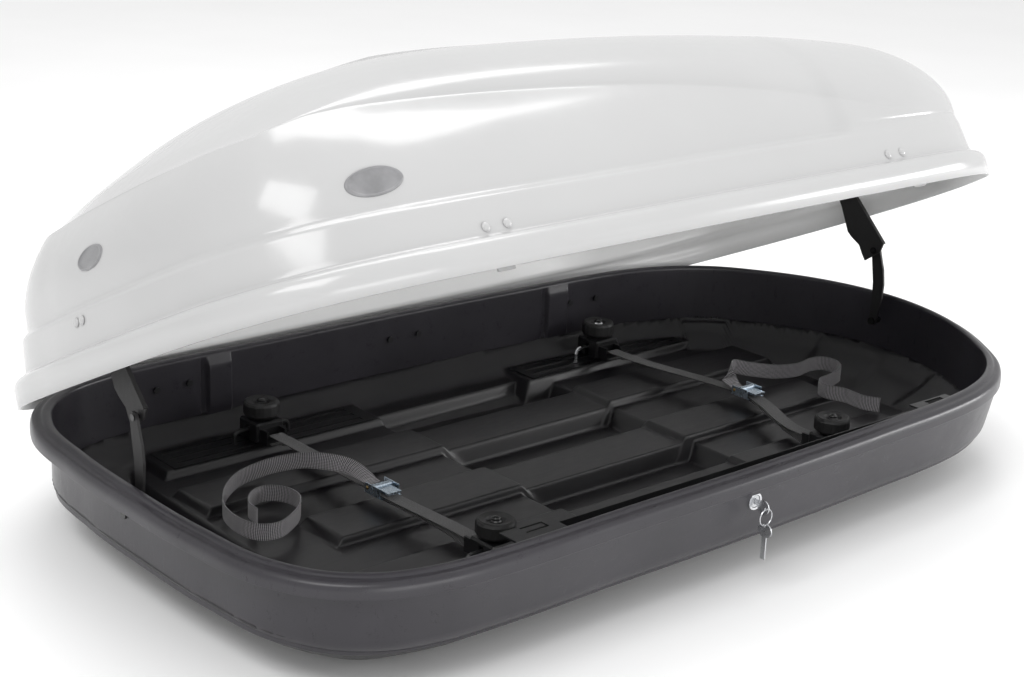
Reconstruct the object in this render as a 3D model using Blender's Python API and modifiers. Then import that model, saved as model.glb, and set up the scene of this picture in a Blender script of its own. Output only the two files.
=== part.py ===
"""Roof cargo box: a black thermoformed tub, a white thermoformed lid hinged on its far
side, two folding lid stays, a keyed central lock, four knob clamps for the car's roof bars
and two webbing straps with cam buckles.

Frame: +X towards the tail, -X towards the nose, +Y the hinge side, -Y the lock side,
+Z up. The origin is on the underside of the tub, Z = 0 at its lowest outer face.
The lid is drawn closed and then turned open about the hinge axis.
"""
import math

import bmesh
import bpy
from mathutils import Matrix, Vector

# ---------------------------------------------------------------- driving dimensions (m)
GAP = 0.0004                      # between neighbouring pieces
# Inner edge of the tub's rim, half outline from the nose centre to the tail centre.
HALF_PLAN = ((-0.764, 0.0), (-0.760, 0.150), (-0.741, 0.280), (-0.710, 0.338),
             (-0.655, 0.382), (-0.585, 0.403), (-0.500, 0.409), (-0.430, 0.4098),
             (-0.300, 0.407), (-0.065, 0.406),
             (0.100, 0.402), (0.265, 0.395), (0.375, 0.390), (0.430, 0.385),
             (0.485, 0.376), (0.573, 0.344), (0.635, 0.299), (0.677, 0.247),
             (0.731, 0.154), (0.757, 0.070), (0.764, 0.0))
COLUMNS = 60                      # facets round the tub and the lid
RIM_TOP = 0.1732
SHEET = 0.004                     # tub sheet thickness
LID_SHEET = 0.0035
RIM_EDGE = (0.032, 0.016, 0.030, 0.030)       # rim overhang: nose, tail, near, far
SKIRT_OUT = (0.0450, 0.0230, 0.0370, 0.0370)  # lid hem offset: nose, tail, near, far
HEM_Z = 0.1385
CREASE_A = 0.182                  # foot of the lid's first tier
CREASE_B = 0.239                  # step between first and second tier

HINGE_Y = 0.4172
HINGE_Z = 0.1435
OPEN_DEG = 25.85                  # how far the lid stands open
HINGE_X = (-0.471, -0.024, 0.371)
RIVET_DX = 0.0295                 # rivets either side of a hinge's centre
RIVET_Z = 0.131
BARREL_R = 0.0030

# Floor of the tub.
LOW_FLOOR = 0.004                 # inside face of the deepest zones
BAR_FLOOR = 0.030                 # plateaus over the roof bars
BAR_PAD = 0.043                   # pads and ledges over the roof bars
MID_PAD = 0.034
RIB_HALF = 0.012                  # stiffening rib under the centre pad, down to Z = 0
ROWS = (0.189, -0.002, -0.189)    # pad row centres
ROW_HALF = 0.044

# Clamps.
CLAMPS = {"far_nose": (-0.357, 0.334), "far_tail": (0.362, 0.335),
          "near_nose": (-0.350, -0.230), "near_tail": (0.343, -0.232)}
PLATE_X = {"nose": (-0.535, -0.165), "tail": (0.180, 0.545)}
PLATE_TOP = 0.0460
SLOT_PITCH = 0.022
SLOT_WIDTH = 0.010
BODY_TOP = 0.0790
KNOB_R = 0.0285
KNOB_BOTTOM = 0.0835
KNOB_TOP = 0.1080
CLAW_R = 0.0035
CLAW_SPAN = 0.0500                # claw legs either side of the knob, along X
CLAW_Z = 0.0645

# Lid stays: pivots in the YZ plane, one stay at each end of the box.
STAY_X = {"nose": -0.7450, "tail": 0.7405}
STAY_SHIFT = {"nose": 0.004, "tail": -0.008}  # of the whole stay, along Y
STAY_TUB = (0.030, 0.125)
STAY_KNEE = (0.036, 0.256)
STAY_LID = (0.136, 0.366)

# Lock.
LOCK_X = -0.055
LOCK_Z = 0.131
BAR_Y = (-0.3745, -0.3720)        # thickness of the sliding bar
CATCH_X = (-0.410, 0.410)
CATCH_RIVET_X = (-0.4445, 0.340)  # middle of the lid rivets that hold each catch
TONGUE_Y = (-0.3810, -0.3780)     # thickness of the lid catches' tongues
CATCH_DX = 0.0170                 # lid rivets either side of a catch
CATCH_Z = 0.1930
BRACKET_DY = (-0.034, -0.017)     # lid rivets of a stay bracket, from its pivot
BRACKET_DZ = -0.004

# Webbing.
WEB_W = 0.025
WEB_T = 0.0014

# ---------------------------------------------------------------- scene and materials
for old in list(bpy.data.objects):
    bpy.data.objects.remove(old, do_unlink=True)

PARTS = bpy.data.collections.new("roof_cargo_box")
CUTTERS = bpy.data.collections.new("cutters")
for holder in (PARTS, CUTTERS):
    bpy.context.scene.collection.children.link(holder)


def material(name, colour, metallic, roughness):
    """A Principled material."""
    mat = bpy.data.materials.new(name)
    mat.use_nodes = True
    shader = mat.node_tree.nodes["Principled BSDF"]
    shader.inputs["Base Color"].default_value = (*colour, 1.0)
    shader.inputs["Metallic"].default_value = metallic
    shader.inputs["Roughness"].default_value = roughness
    mat.diffuse_color = (*colour, 1.0)
    return mat


BLACK = (0.018, 0.018, 0.020)
PALETTE = {
    "tub_abs": ((0.045, 0.045, 0.050), 0.0, 0.38),
    "lid_abs": ((0.86, 0.86, 0.85), 0.0, 0.08),
    "moulded": (BLACK, 0.0, 0.45),
    "knob": ((0.030, 0.030, 0.032), 0.0, 0.55),
    "steel": ((0.62, 0.63, 0.65), 1.0, 0.22),
    "black_steel": ((0.020, 0.020, 0.022), 0.6, 0.35),
    "zinc": ((0.60, 0.68, 0.76), 1.0, 0.30),
    "rivet_white": ((0.84, 0.84, 0.83), 0.0, 0.20),
    "webbing": ((0.020, 0.020, 0.022), 0.0, 0.80),
}
SLOT_COUNT = {}


def finish(obj, look, smooth=False):
    """Give a piece its own material, shading and place in the parts collection."""
    colour, metallic, roughness = PALETTE[look]
    obj.data.materials.clear()
    obj.data.materials.append(material(f"{obj.name}_{look}", colour, metallic, roughness))
    for face in obj.data.polygons:
        face.use_smooth = smooth
    return obj


# ---------------------------------------------------------------- mesh helpers
def new_object(name, mesh, cutter=False):
    """Link a mesh as an object into the parts or the cutters collection."""
    obj = bpy.data.objects.new(name, mesh)
    (CUTTERS if cutter else PARTS).objects.link(obj)
    if cutter:
        obj.hide_render = True
        obj.display_type = "WIRE"
    return obj


def from_bmesh(name, bm, cutter=False):
    """Turn a bmesh into an object with outward faces."""
    bmesh.ops.recalc_face_normals(bm, faces=bm.faces)
    mesh = bpy.data.meshes.new(name)
    bm.to_mesh(mesh)
    bm.free()
    return new_object(name, mesh, cutter)


def add_box(bm, low, high):
    """Add an axis-aligned block to a bmesh."""
    size = [h - l for l, h in zip(low, high)]
    centre = [(h + l) / 2 for l, h in zip(low, high)]
    place = Matrix.Translation(centre) @ Matrix.Diagonal((*size, 1.0))
    return bmesh.ops.create_cube(bm, size=1.0, matrix=place)["verts"]


def add_cylinder(bm, start, end, radius, sides=16, radius_end=None):
    """Add a capped cylinder or cone between two points."""
    start = Vector(start)
    end = Vector(end)
    axis = end - start
    turn = axis.to_track_quat("Z", "Y").to_matrix().to_4x4()
    place = Matrix.Translation((start + end) / 2) @ turn
    return bmesh.ops.create_cone(bm, cap_ends=True, segments=sides, radius1=radius,
                                 radius2=radius if radius_end is None else radius_end,
                                 depth=axis.length, matrix=place)["verts"]


def add_prism(bm, outline, low, high, axis):
    """Extrude a closed outline of (a, b) pairs from low to high along axis 0, 1 or 2."""
    def spot(pair, along):
        if axis == 0:
            return (along, pair[0], pair[1])
        if axis == 1:
            return (pair[0], along, pair[1])
        return (pair[0], pair[1], along)
    first = [bm.verts.new(spot(pair, low)) for pair in outline]
    last = [bm.verts.new(spot(pair, high)) for pair in outline]
    bm.faces.new(first)
    bm.faces.new(list(reversed(last)))
    count = len(outline)
    for i in range(count):
        j = (i + 1) % count
        bm.faces.new((first[j], first[i], last[i], last[j]))
    return first + last


def add_loft(bm, rings, cap_first=True, cap_last=True):
    """Skin closed rings of equal point count."""
    rows = [[bm.verts.new(point) for point in ring] for ring in rings]
    count = len(rings[0])
    for lower, upper in zip(rows, rows[1:]):
        for i in range(count):
            j = (i + 1) % count
            bm.faces.new((lower[i], lower[j], upper[j], upper[i]))
    if cap_first:
        bm.faces.new(list(reversed(rows[0])))
    if cap_last:
        bm.faces.new(rows[-1])
    return rows


def add_lathe(bm, profile, centre, sides=24, flute=None):
    """Turn a (radius, z) profile about a vertical axis; flute scales radius by angle."""
    rings = []
    for radius, height in profile:
        ring = []
        for i in range(sides):
            angle = 2 * math.pi * i / sides
            r = radius * (flute(angle, radius) if flute else 1.0)
            ring.append((centre[0] + r * math.cos(angle),
                         centre[1] + r * math.sin(angle), centre[2] + height))
        rings.append(ring)
    add_loft(bm, rings)


def add_turned(bm, profile, start, axis, sides=14):
    """Turn a (radius, distance) profile about the axis (0 X, 1 Y, 2 Z) through start."""
    rings = []
    for radius, along_axis in profile:
        ring = []
        for i in range(sides):
            a = 2 * math.pi * i / sides
            p, q = radius * math.cos(a), radius * math.sin(a)
            offset = ((along_axis, p, q), (q, along_axis, p), (p, q, along_axis))[axis]
            ring.append(tuple(s + o for s, o in zip(start, offset)))
        rings.append(ring)
    add_loft(bm, rings)


def apply_modifier(obj, kind, **settings):
    """Add one modifier and make it real."""
    modifier = obj.modifiers.new(kind, kind)
    for key, value in settings.items():
        setattr(modifier, key, value)
    graph = bpy.context.evaluated_depsgraph_get()
    mesh = bpy.data.meshes.new_from_object(obj.evaluated_get(graph))
    obj.modifiers.clear()
    obj.data = mesh


def cut(obj, cutter, operation="DIFFERENCE"):
    """Exact Boolean of a solid with a cutter."""
    apply_modifier(obj, "BOOLEAN", object=cutter, operation=operation, solver="EXACT")


def clean(obj, distance=0.00002):
    """Merge doubled points and drop empty slivers."""
    bm = bmesh.new()
    bm.from_mesh(obj.data)
    bmesh.ops.remove_doubles(bm, verts=bm.verts, dist=distance)
    bmesh.ops.dissolve_degenerate(bm, dist=distance, edges=bm.edges)
    bm.to_mesh(obj.data)
    bm.free()


def box_piece(name, low, high, look, bevel=0.0):
    """A block, with its edges bevelled if asked."""
    bm = bmesh.new()
    add_box(bm, low, high)
    obj = from_bmesh(name, bm)
    if bevel:
        apply_modifier(obj, "BEVEL", width=bevel, segments=1, limit_method="ANGLE")
    return finish(obj, look)


# ---------------------------------------------------------------- outline of the box
def along(table, x):
    """Smooth step-free reading of a short table of (x, value) pairs."""
    if x <= table[0][0]:
        return table[0][1]
    for (x0, v0), (x1, v1) in zip(table, table[1:]):
        if x <= x1:
            t = (x - x0) / (x1 - x0)
            return v0 + (v1 - v0) * t
    return table[-1][1]


def hermite(knots, tangents, spans, u):
    """Point and slope on a cubic through knots with the given spans."""
    i = 0
    while i < len(spans) - 1 and u > spans[i]:
        u -= spans[i]
        i += 1
    t = min(u / spans[i], 1.0)
    a, b = Vector(knots[i]), Vector(knots[i + 1])
    ta, tb = tangents[i] * spans[i], tangents[i + 1] * spans[i]
    point = ((2 * t**3 - 3 * t**2 + 1) * a + (t**3 - 2 * t**2 + t) * ta
             + (-2 * t**3 + 3 * t**2) * b + (t**3 - t**2) * tb)
    slope = ((6 * t**2 - 6 * t) * a + (3 * t**2 - 4 * t + 1) * ta
             + (-6 * t**2 + 6 * t) * b + (3 * t**2 - 2 * t) * tb)
    return point, slope


def outline(columns):
    """Points and outward normals round the rim's inner edge, nose centre first.

    Points crowd where the outline turns."""
    knots = [Vector(p) for p in HALF_PLAN]
    mirrored = [Vector((knots[1].x, -knots[1].y))] + knots + [Vector((knots[-2].x, -knots[-2].y))]
    tangents = []
    for before, here, after in zip(mirrored, mirrored[1:], mirrored[2:]):
        d0, d1 = (here - before).length, (after - here).length
        tangents.append(((here - before) / d0 * d1 + (after - here) / d1 * d0) / (d0 + d1))
    spans = [(b - a).length for a, b in zip(knots, knots[1:])]
    total = sum(spans)
    fine = 600
    walk = [hermite(knots, tangents, spans, total * i / fine) for i in range(fine + 1)]
    weight = [0.0]
    for (p0, s0), (p1, s1) in zip(walk, walk[1:]):
        weight.append(weight[-1] + (p1 - p0).length + 0.11 * s0.angle(s1))
    half = columns // 2
    picked = []
    for k in range(half + 1):
        goal = weight[-1] * k / half
        i = min(range(fine + 1), key=lambda n: abs(weight[n] - goal))
        point, slope = walk[i]
        normal = Vector((-slope.y, slope.x)).normalized()
        picked.append((point, normal))
    picked[0] = (knots[0], Vector((-1.0, 0.0)))
    picked[-1] = (knots[-1], Vector((1.0, 0.0)))
    ring = [(p.copy(), n.copy()) for p, n in picked]
    for p, n in reversed(picked[1:-1]):
        ring.append((Vector((p.x, -p.y)), Vector((n.x, -n.y))))
    return ring


RIM_WALK = [(p.x, p.y) for p, _ in outline(COLUMNS) if p.y >= 0.0]


def half_width(x):
    """Half width of the rim's inner edge at x."""
    return along(RIM_WALK, x)


def end_x(end, y):
    """X of the rim's inner edge on an end wall, y off the centre line."""
    side = [(py, px) for px, py in RIM_WALK if (px < 0.0) == (end == "nose")]
    return along(sorted(side), abs(y))


def add_strip(bm, x0, x1, low, high, z0, z1, side):
    """A plate that follows a long wall, between two offsets from the rim's inner edge."""
    knots = sorted({x0, x1} | {px for px, _ in RIM_WALK if x0 + 0.002 < px < x1 - 0.002})
    line = [(x, side * (half_width(x) + low)) for x in knots]
    line += [(x, side * (half_width(x) + high)) for x in reversed(knots)]
    add_prism(bm, line, z0, z1, 2)


def mix(values, normal):
    """Blend nose, tail, near and far values by the way the outline faces."""
    nose, tail, near, far = values
    side = far if normal.y > 0 else near
    end = tail if normal.x > 0 else nose
    return side * normal.y**2 + end * normal.x**2


def ring_at(base, offset, height):
    """Offset the outline; offset and height are numbers or (nose, tail, near, far)."""
    points = []
    for point, normal in base:
        off = mix(offset, normal) if isinstance(offset, tuple) else offset
        z = mix(height, normal) if isinstance(height, tuple) else height
        points.append((point.x + normal.x * off, point.y + normal.y * off, z))
    return points


# ---------------------------------------------------------------- tub shell
def edge_share(share):
    """Offsets at a share of the rim's overhang."""
    return tuple(e * share for e in RIM_EDGE)


def edge_less(less, near_less):
    """Offsets a little inside the rim's edge; near is the flush lock side."""
    nose, tail, near, far = RIM_EDGE
    return (nose - less, tail - less, near - near_less, far - less)


def tub_outer(name):
    """Solid outer form of the tub, from the rim down to the flat underside."""
    base = outline(COLUMNS)
    rim = ((0.0, 0.1700), (0.12, 0.1725), (0.30, RIM_TOP), (0.45, 0.1712), (0.58, 0.1694),
           (0.75, 0.1690), (0.92, 0.1655))
    rings = [ring_at(base, edge_share(share), z) for share, z in rim]
    rings.append(ring_at(base, RIM_EDGE, 0.1590))
    rings.append(ring_at(base, RIM_EDGE, 0.1480))
    rings.append(ring_at(base, edge_less(0.0040, 0.0008), (0.1475, 0.1475, 0.1474, 0.1475)))
    rings.append(ring_at(base, edge_less(0.0048, 0.0012), (0.1600, 0.1600, 0.1468, 0.1600)))
    rings.append(ring_at(base, (0.0036, 0.0036, 0.0284, 0.0036), (0.162, 0.162, 0.146, 0.162)))
    rings.append(ring_at(base, (0.0030, 0.0030, 0.0095, 0.0030), (0.070, 0.070, 0.072, 0.070)))
    rings.append(ring_at(base, -0.0235, 0.0410))
    rings.append(ring_at(base, -0.1005, 0.0))
    bm = bmesh.new()
    add_loft(bm, rings)
    return from_bmesh(name, bm)


def tub_inner():
    """The space inside the tub before the raised floor is taken out of it."""
    base = outline(COLUMNS)
    steps = ((0.0, 0.200), (0.0, 0.168), (-0.0012, 0.074), (-0.0030, 0.069), (-0.026, 0.046),
             (-0.101, LOW_FLOOR))
    bm = bmesh.new()
    add_loft(bm, [ring_at(base, off, z) for off, z in steps])
    return from_bmesh("cut_tub_inner", bm, cutter=True)


def near_void():
    """Wedge of air between the tub's near wall and its flush outer skin, open below."""
    base = [(p, n) for p, n in outline(COLUMNS) if n.y < -0.985]
    base.sort(key=lambda item: item[0].x)
    section = ((0.0042, 0.142), (0.0236, 0.142), (0.0055, 0.078), (0.0052, 0.058),
               (0.0035, 0.058))
    bm = bmesh.new()
    rings = []
    for point, normal in base:
        rings.append([(point.x + normal.x * off, point.y + normal.y * off, z)
                      for off, z in section])
    add_loft(bm, rings)
    return from_bmesh("cut_near_void", bm, cutter=True)


def island_list():
    """Raised floor blocks as (x0, x1, y0, y1, top, run_x, run_y) of their top faces."""
    wide = 0.60
    blocks = []
    for x0, x1 in ((-0.585, -0.146), (0.222, 0.628)):
        blocks.append((x0, x1, -wide, wide, BAR_FLOOR, 0.70, 0.0))
    ledges = ((-0.548, -0.150), (0.170, 0.560))
    for x0, x1 in ledges:
        blocks.append((x0, x1, 0.298, wide, BAR_PAD, 0.50, 0.35))
    near_pads = ((-0.540, -0.152), (0.205, 0.560))
    for x0, x1 in near_pads:
        blocks.append((x0, x1, -0.288, -0.146, BAR_PAD, 0.50, 0.35))
    far_row = ((-0.568, -0.140), (0.218, 0.612))
    centre_row = ((-0.473, -0.142), (0.205, 0.572))
    for pads, row in ((far_row, 0), (centre_row, 1)):
        for x0, x1 in pads:
            blocks.append((x0, x1, ROWS[row] - ROW_HALF, ROWS[row] + ROW_HALF,
                           BAR_PAD, 0.80, 0.35))
    for row in range(3):
        blocks.append((-0.170, 0.240, ROWS[row] - ROW_HALF - 0.002,
                       ROWS[row] + ROW_HALF - 0.002, MID_PAD, 0.30, 0.35))
    blocks.append((-0.170, 0.200, 0.326, wide, MID_PAD, 0.30, 0.35))
    blocks.append((-0.170, 0.230, -wide, -0.326, MID_PAD, 0.30, 0.35))
    return blocks


def island(name, block, inset):
    """A tapered block; inset shrinks it by one sheet for the hollow underneath."""
    x0, x1, y0, y1, top, run_x, run_y = block
    top -= inset
    foot = -0.010 - inset
    drop = top - foot
    x0, x1, y0, y1 = x0 + inset, x1 - inset, y0 + inset, y1 - inset
    rings = []
    for z, grow in ((foot, drop), (top, 0.0)):
        gx, gy = grow * run_x, grow * run_y
        rings.append([(x0 - gx, y0 - gy, z), (x1 + gx, y0 - gy, z),
                      (x1 + gx, y1 + gy, z), (x0 - gx, y1 + gy, z)])
    bm = bmesh.new()
    add_loft(bm, rings)
    return from_bmesh(name, bm, cutter=True)


def slot_spans(tag):
    """The three long slots of one plate as (x0, x1, y0, y1)."""
    x0, x1 = PLATE_X[tag.split("_")[1]]
    spans = []
    for k in (-1, 0, 1):
        y = CLAMPS[tag][1] + k * SLOT_PITCH
        spans.append((x0 + 0.014, x1 - 0.014, y - SLOT_WIDTH / 2, y + SLOT_WIDTH / 2))
    return spans


def floor_prism(name, offset, low, high):
    """The plan of the floor, shrunk by offset, as an upright solid."""
    base = outline(COLUMNS)
    bm = bmesh.new()
    add_loft(bm, [ring_at(base, -offset, high), ring_at(base, -offset, low)])
    return from_bmesh(name, bm, cutter=True)


def slots_cutter(name, tags, grow, inset, low, high):
    """Slots of some plates as one cutter, kept inside the floor's outline."""
    bm = bmesh.new()
    for tag in tags:
        for x0, x1, y0, y1 in slot_spans(tag):
            add_box(bm, (x0 - grow, y0 - grow, low), (x1 + grow, y1 + grow, high))
    cutter = from_bmesh(name, bm, cutter=True)
    cut(cutter, floor_prism(f"{name}_room", inset, low - 0.01, high + 0.01), "INTERSECT")
    return cutter


def make_tub():
    """Sheet tub: outer form less the inside, less the hollows under the raised floor."""
    tub = tub_outer("tub_shell")
    inner = tub_inner()
    blocks = island_list()
    for i, block in enumerate(blocks):
        cut(inner, island(f"cut_island_{i}", block, 0.0))
    clean(inner)
    cut(tub, inner)
    cut(tub, near_void())
    bm = bmesh.new()
    add_box(bm, (-RIB_HALF, -0.20, -0.05), (RIB_HALF, 0.20, 0.10))
    rib = from_bmesh("cut_rib", bm, cutter=True)
    for i, block in enumerate(blocks):
        hollow = island(f"cut_hollow_{i}", block, SHEET)
        if block[4] == MID_PAD and block[2] < 0.0 < block[3]:
            cut(hollow, rib)
        cut(tub, hollow)
    cut(tub, slots_cutter("cut_floor_slots", CLAMPS, 0.0010, 0.0375, -0.01, 0.06))
    bm = bmesh.new()
    add_cylinder(bm, (LOCK_X, -0.44, LOCK_Z), (LOCK_X, -0.39, LOCK_Z), 0.0096, 20)
    cut(tub, from_bmesh("cut_lock_hole", bm, cutter=True))
    bm = bmesh.new()
    for x in HINGE_X:
        for dx in (-RIVET_DX, RIVET_DX):
            add_cylinder(bm, (x + dx, 0.37, RIVET_Z), (x + dx, 0.425, RIVET_Z), 0.0029, 10)
    for end, shift in STAY_SHIFT.items():
        x = end_x(end, STAY_TUB[0])
        add_turned(bm, ((0.0036, -0.02), (0.0036, 0.02)), (x, STAY_TUB[0] + shift, STAY_TUB[1]),
                   0, 12)
    cut(tub, from_bmesh("cut_rivet_holes", bm, cutter=True))
    clean(tub)
    return finish(tub, "tub_abs")


# ---------------------------------------------------------------- lid shell
ROOF_LINE = ((-0.720, 0.371), (-0.690, 0.388), (-0.640, 0.415), (-0.568, 0.448),
             (-0.500, 0.467), (-0.430, 0.477), (-0.350, 0.482), (-0.287, 0.483),
             (-0.154, 0.480), (0.065, 0.468), (0.218, 0.454), (0.420, 0.428),
             (0.600, 0.398), (0.700, 0.368), (0.760, 0.343))
CREASE_C = ((-0.720, 0.364), (-0.650, 0.375), (-0.592, 0.378), (-0.441, 0.378),
            (-0.299, 0.373), (-0.008, 0.344), (0.181, 0.310), (0.420, 0.256),
            (0.500, 0.252))
ROOF_CAMBER = 0.33


def roof(x, y):
    """Height of the lid's top skin over the ground, lid closed."""
    band = 0.006 * min(1.0, max(0.0, (0.19 - abs(y)) / 0.02))
    fade = min(1.0, max(0.0, (x + 0.46) / 0.08)) * min(1.0, max(0.0, (0.50 - x) / 0.15))
    return along(ROOF_LINE, x) - ROOF_CAMBER * y * y + band * fade


def lid_rings(base):
    """Rings of the closed lid's outer skin, hem first, spine of the roof last."""
    lower = ((0.0, 0.0, HEM_Z), (0.0010, 0.0010, 0.166), (0.0040, 0.0040, 0.174),
             (0.0100, 0.0100, 0.179), (0.0205, 0.0205, CREASE_A), (0.0220, 0.0220, 0.189),
             (0.0280, 0.0270, 0.231), (0.0375, 0.0300, CREASE_B), (0.0385, 0.0310, 0.246))
    rings = []
    for step, plain, z in lower:
        ring = []
        for point, normal in base:
            faded = min(1.0, max(0.0, (point.x - 0.235) / 0.03))
            inset = step + (plain - step) * faded
            lift = 0.005 * max(0.0, normal.x) ** 2 if CREASE_A <= z < 0.19 else 0.0
            off = mix(SKIRT_OUT, normal) - inset
            ring.append((point.x + normal.x * off, point.y + normal.y * off, z + lift))
        rings.append(ring)
    crest = []
    for share in (0.38, 0.68, 0.88, 1.0):
        ring = []
        for point, normal in base:
            top = along(CREASE_C, point.x)
            z = 0.246 + (top - 0.246) * share
            lean = 0.062 * max(0.0, (z - 0.239) / 0.132) ** 2.1
            foot = 0.038 - 0.008 * min(1.0, max(0.0, (point.x - 0.235) / 0.03))
            off = mix(SKIRT_OUT, normal) - foot - lean
            ring.append((point.x + normal.x * off, point.y + normal.y * off, z))
        rings.append(ring)
        crest = ring
    for t in (0.025, 0.07, 0.14, 0.24, 0.38, 0.62, 1.0):
        ring = []
        for (point, normal), (cx, cy, cz) in zip(base, crest):
            spine = max(-0.45, min(0.45, cx))
            x = cx + (spine - cx) * t
            y = cy * (1.0 - t)
            reach = 0.42 - 0.24 * max(0.0, -normal.x) ** 2
            u = min(1.0, t / reach)
            rise = math.sqrt(1.0 - (1.0 - u) ** 2)
            ring.append((x, y, cz + (roof(x, y) - cz) * rise))
        rings.append(ring)
    return rings


def open_lid(obj):
    """Turn a piece drawn in the closed position to the open one."""
    pivot = Vector((0.0, HINGE_Y, HINGE_Z))
    turn = Matrix.Rotation(-math.radians(OPEN_DEG), 4, "X")
    obj.data.transform(Matrix.Translation(pivot) @ turn @ Matrix.Translation(-pivot))
    obj.data.update()
    return obj


def opened(x, y, z):
    """Where a point of the closed lid goes when the lid opens."""
    a = math.radians(OPEN_DEG)
    dy, dz = y - HINGE_Y, z - HINGE_Z
    return (x, HINGE_Y + dy * math.cos(a) + dz * math.sin(a),
            HINGE_Z - dy * math.sin(a) + dz * math.cos(a))


def make_lid():
    """Sheet lid with a skirt, two tiers and a domed roof."""
    bm = bmesh.new()
    rings = lid_rings(outline(COLUMNS))
    add_loft(bm, rings, cap_first=False, cap_last=False)
    bmesh.ops.remove_doubles(bm, verts=bm.verts, dist=0.0004)
    bmesh.ops.dissolve_degenerate(bm, dist=0.0002, edges=bm.edges)
    bmesh.ops.recalc_face_normals(bm, faces=bm.faces)
    top = max(bm.faces, key=lambda f: f.calc_center_median().z)
    if top.normal.z < 0:
        bmesh.ops.reverse_faces(bm, faces=bm.faces)
    mesh = bpy.data.meshes.new("lid_shell")
    bm.to_mesh(mesh)
    bm.free()
    lid = new_object("lid_shell", mesh)
    apply_modifier(lid, "SOLIDIFY", thickness=LID_SHEET, offset=-1.0, use_even_offset=True)
    cut(lid, lid_rivet_holes())
    clean(lid)
    finish(lid, "lid_abs", smooth=True)
    return open_lid(lid)


# ---------------------------------------------------------------- floor plates
def make_plates():
    """Slotted reinforcing plates on the floor, one under each clamp."""
    for tag, (_, cy) in CLAMPS.items():
        x0, x1 = PLATE_X[tag.split("_")[1]]
        bm = bmesh.new()
        add_box(bm, (x0, cy - 0.036, BAR_PAD + GAP), (x1, cy + 0.036, PLATE_TOP))
        plate = from_bmesh(f"slot_plate_{tag}", bm)
        cut(plate, floor_prism(f"cut_plate_room_{tag}", 0.0320, 0.02, 0.07), "INTERSECT")
        cut(plate, slots_cutter(f"cut_plate_slots_{tag}", (tag,), 0.0, 0.0385, 0.03, 0.06))
        clean(plate)
        finish(plate, "moulded")


# ---------------------------------------------------------------- swept pieces
def sweep(bm, spine, radius, sides):
    """Sweep a round section along a path."""
    points = [Vector(p) for p in spine]
    rings = []
    up = None
    for i, here in enumerate(points):
        before = points[max(i - 1, 0)]
        after = points[min(i + 1, len(points) - 1)]
        ahead = (after - before).normalized()
        if up is None:
            up = ahead.orthogonal().normalized()
        up = (up - ahead * up.dot(ahead)).normalized()
        side = ahead.cross(up)
        ring = []
        for k in range(sides):
            a = 2 * math.pi * k / sides
            ring.append(here + up * radius * math.cos(a) + side * radius * math.sin(a))
        rings.append(ring)
    add_loft(bm, rings)


def add_ribbon(bm, spine, across, width, thickness):
    """Sweep a flat section; across gives the direction of its width at each point."""
    points = [Vector(p) for p in spine]
    rings = []
    for i, here in enumerate(points):
        before = points[max(i - 1, 0)]
        after = points[min(i + 1, len(points) - 1)]
        ahead = (after - before).normalized()
        wide = Vector(across[i])
        wide = (wide - ahead * wide.dot(ahead)).normalized()
        thin = ahead.cross(wide)
        a = wide * width / 2
        b = thin * thickness / 2
        rings.append([here + a + b, here - a + b, here - a - b, here + a - b])
    add_loft(bm, rings)


def curve_through(knots, steps):
    """Points on a smooth curve through knots (Catmull-Rom), steps per span."""
    knots = [Vector(k) for k in knots]
    ends = [knots[0] * 2 - knots[1]] + knots + [knots[-1] * 2 - knots[-2]]
    points = []
    for p0, p1, p2, p3 in zip(ends, ends[1:], ends[2:], ends[3:]):
        for k in range(steps):
            t = k / steps
            points.append(0.5 * ((2 * p1) + (p2 - p0) * t + (2 * p0 - 5 * p1 + 4 * p2 - p3) * t**2
                                 + (3 * p1 - p0 - 3 * p2 + p3) * t**3))
    points.append(knots[-1])
    return points


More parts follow.
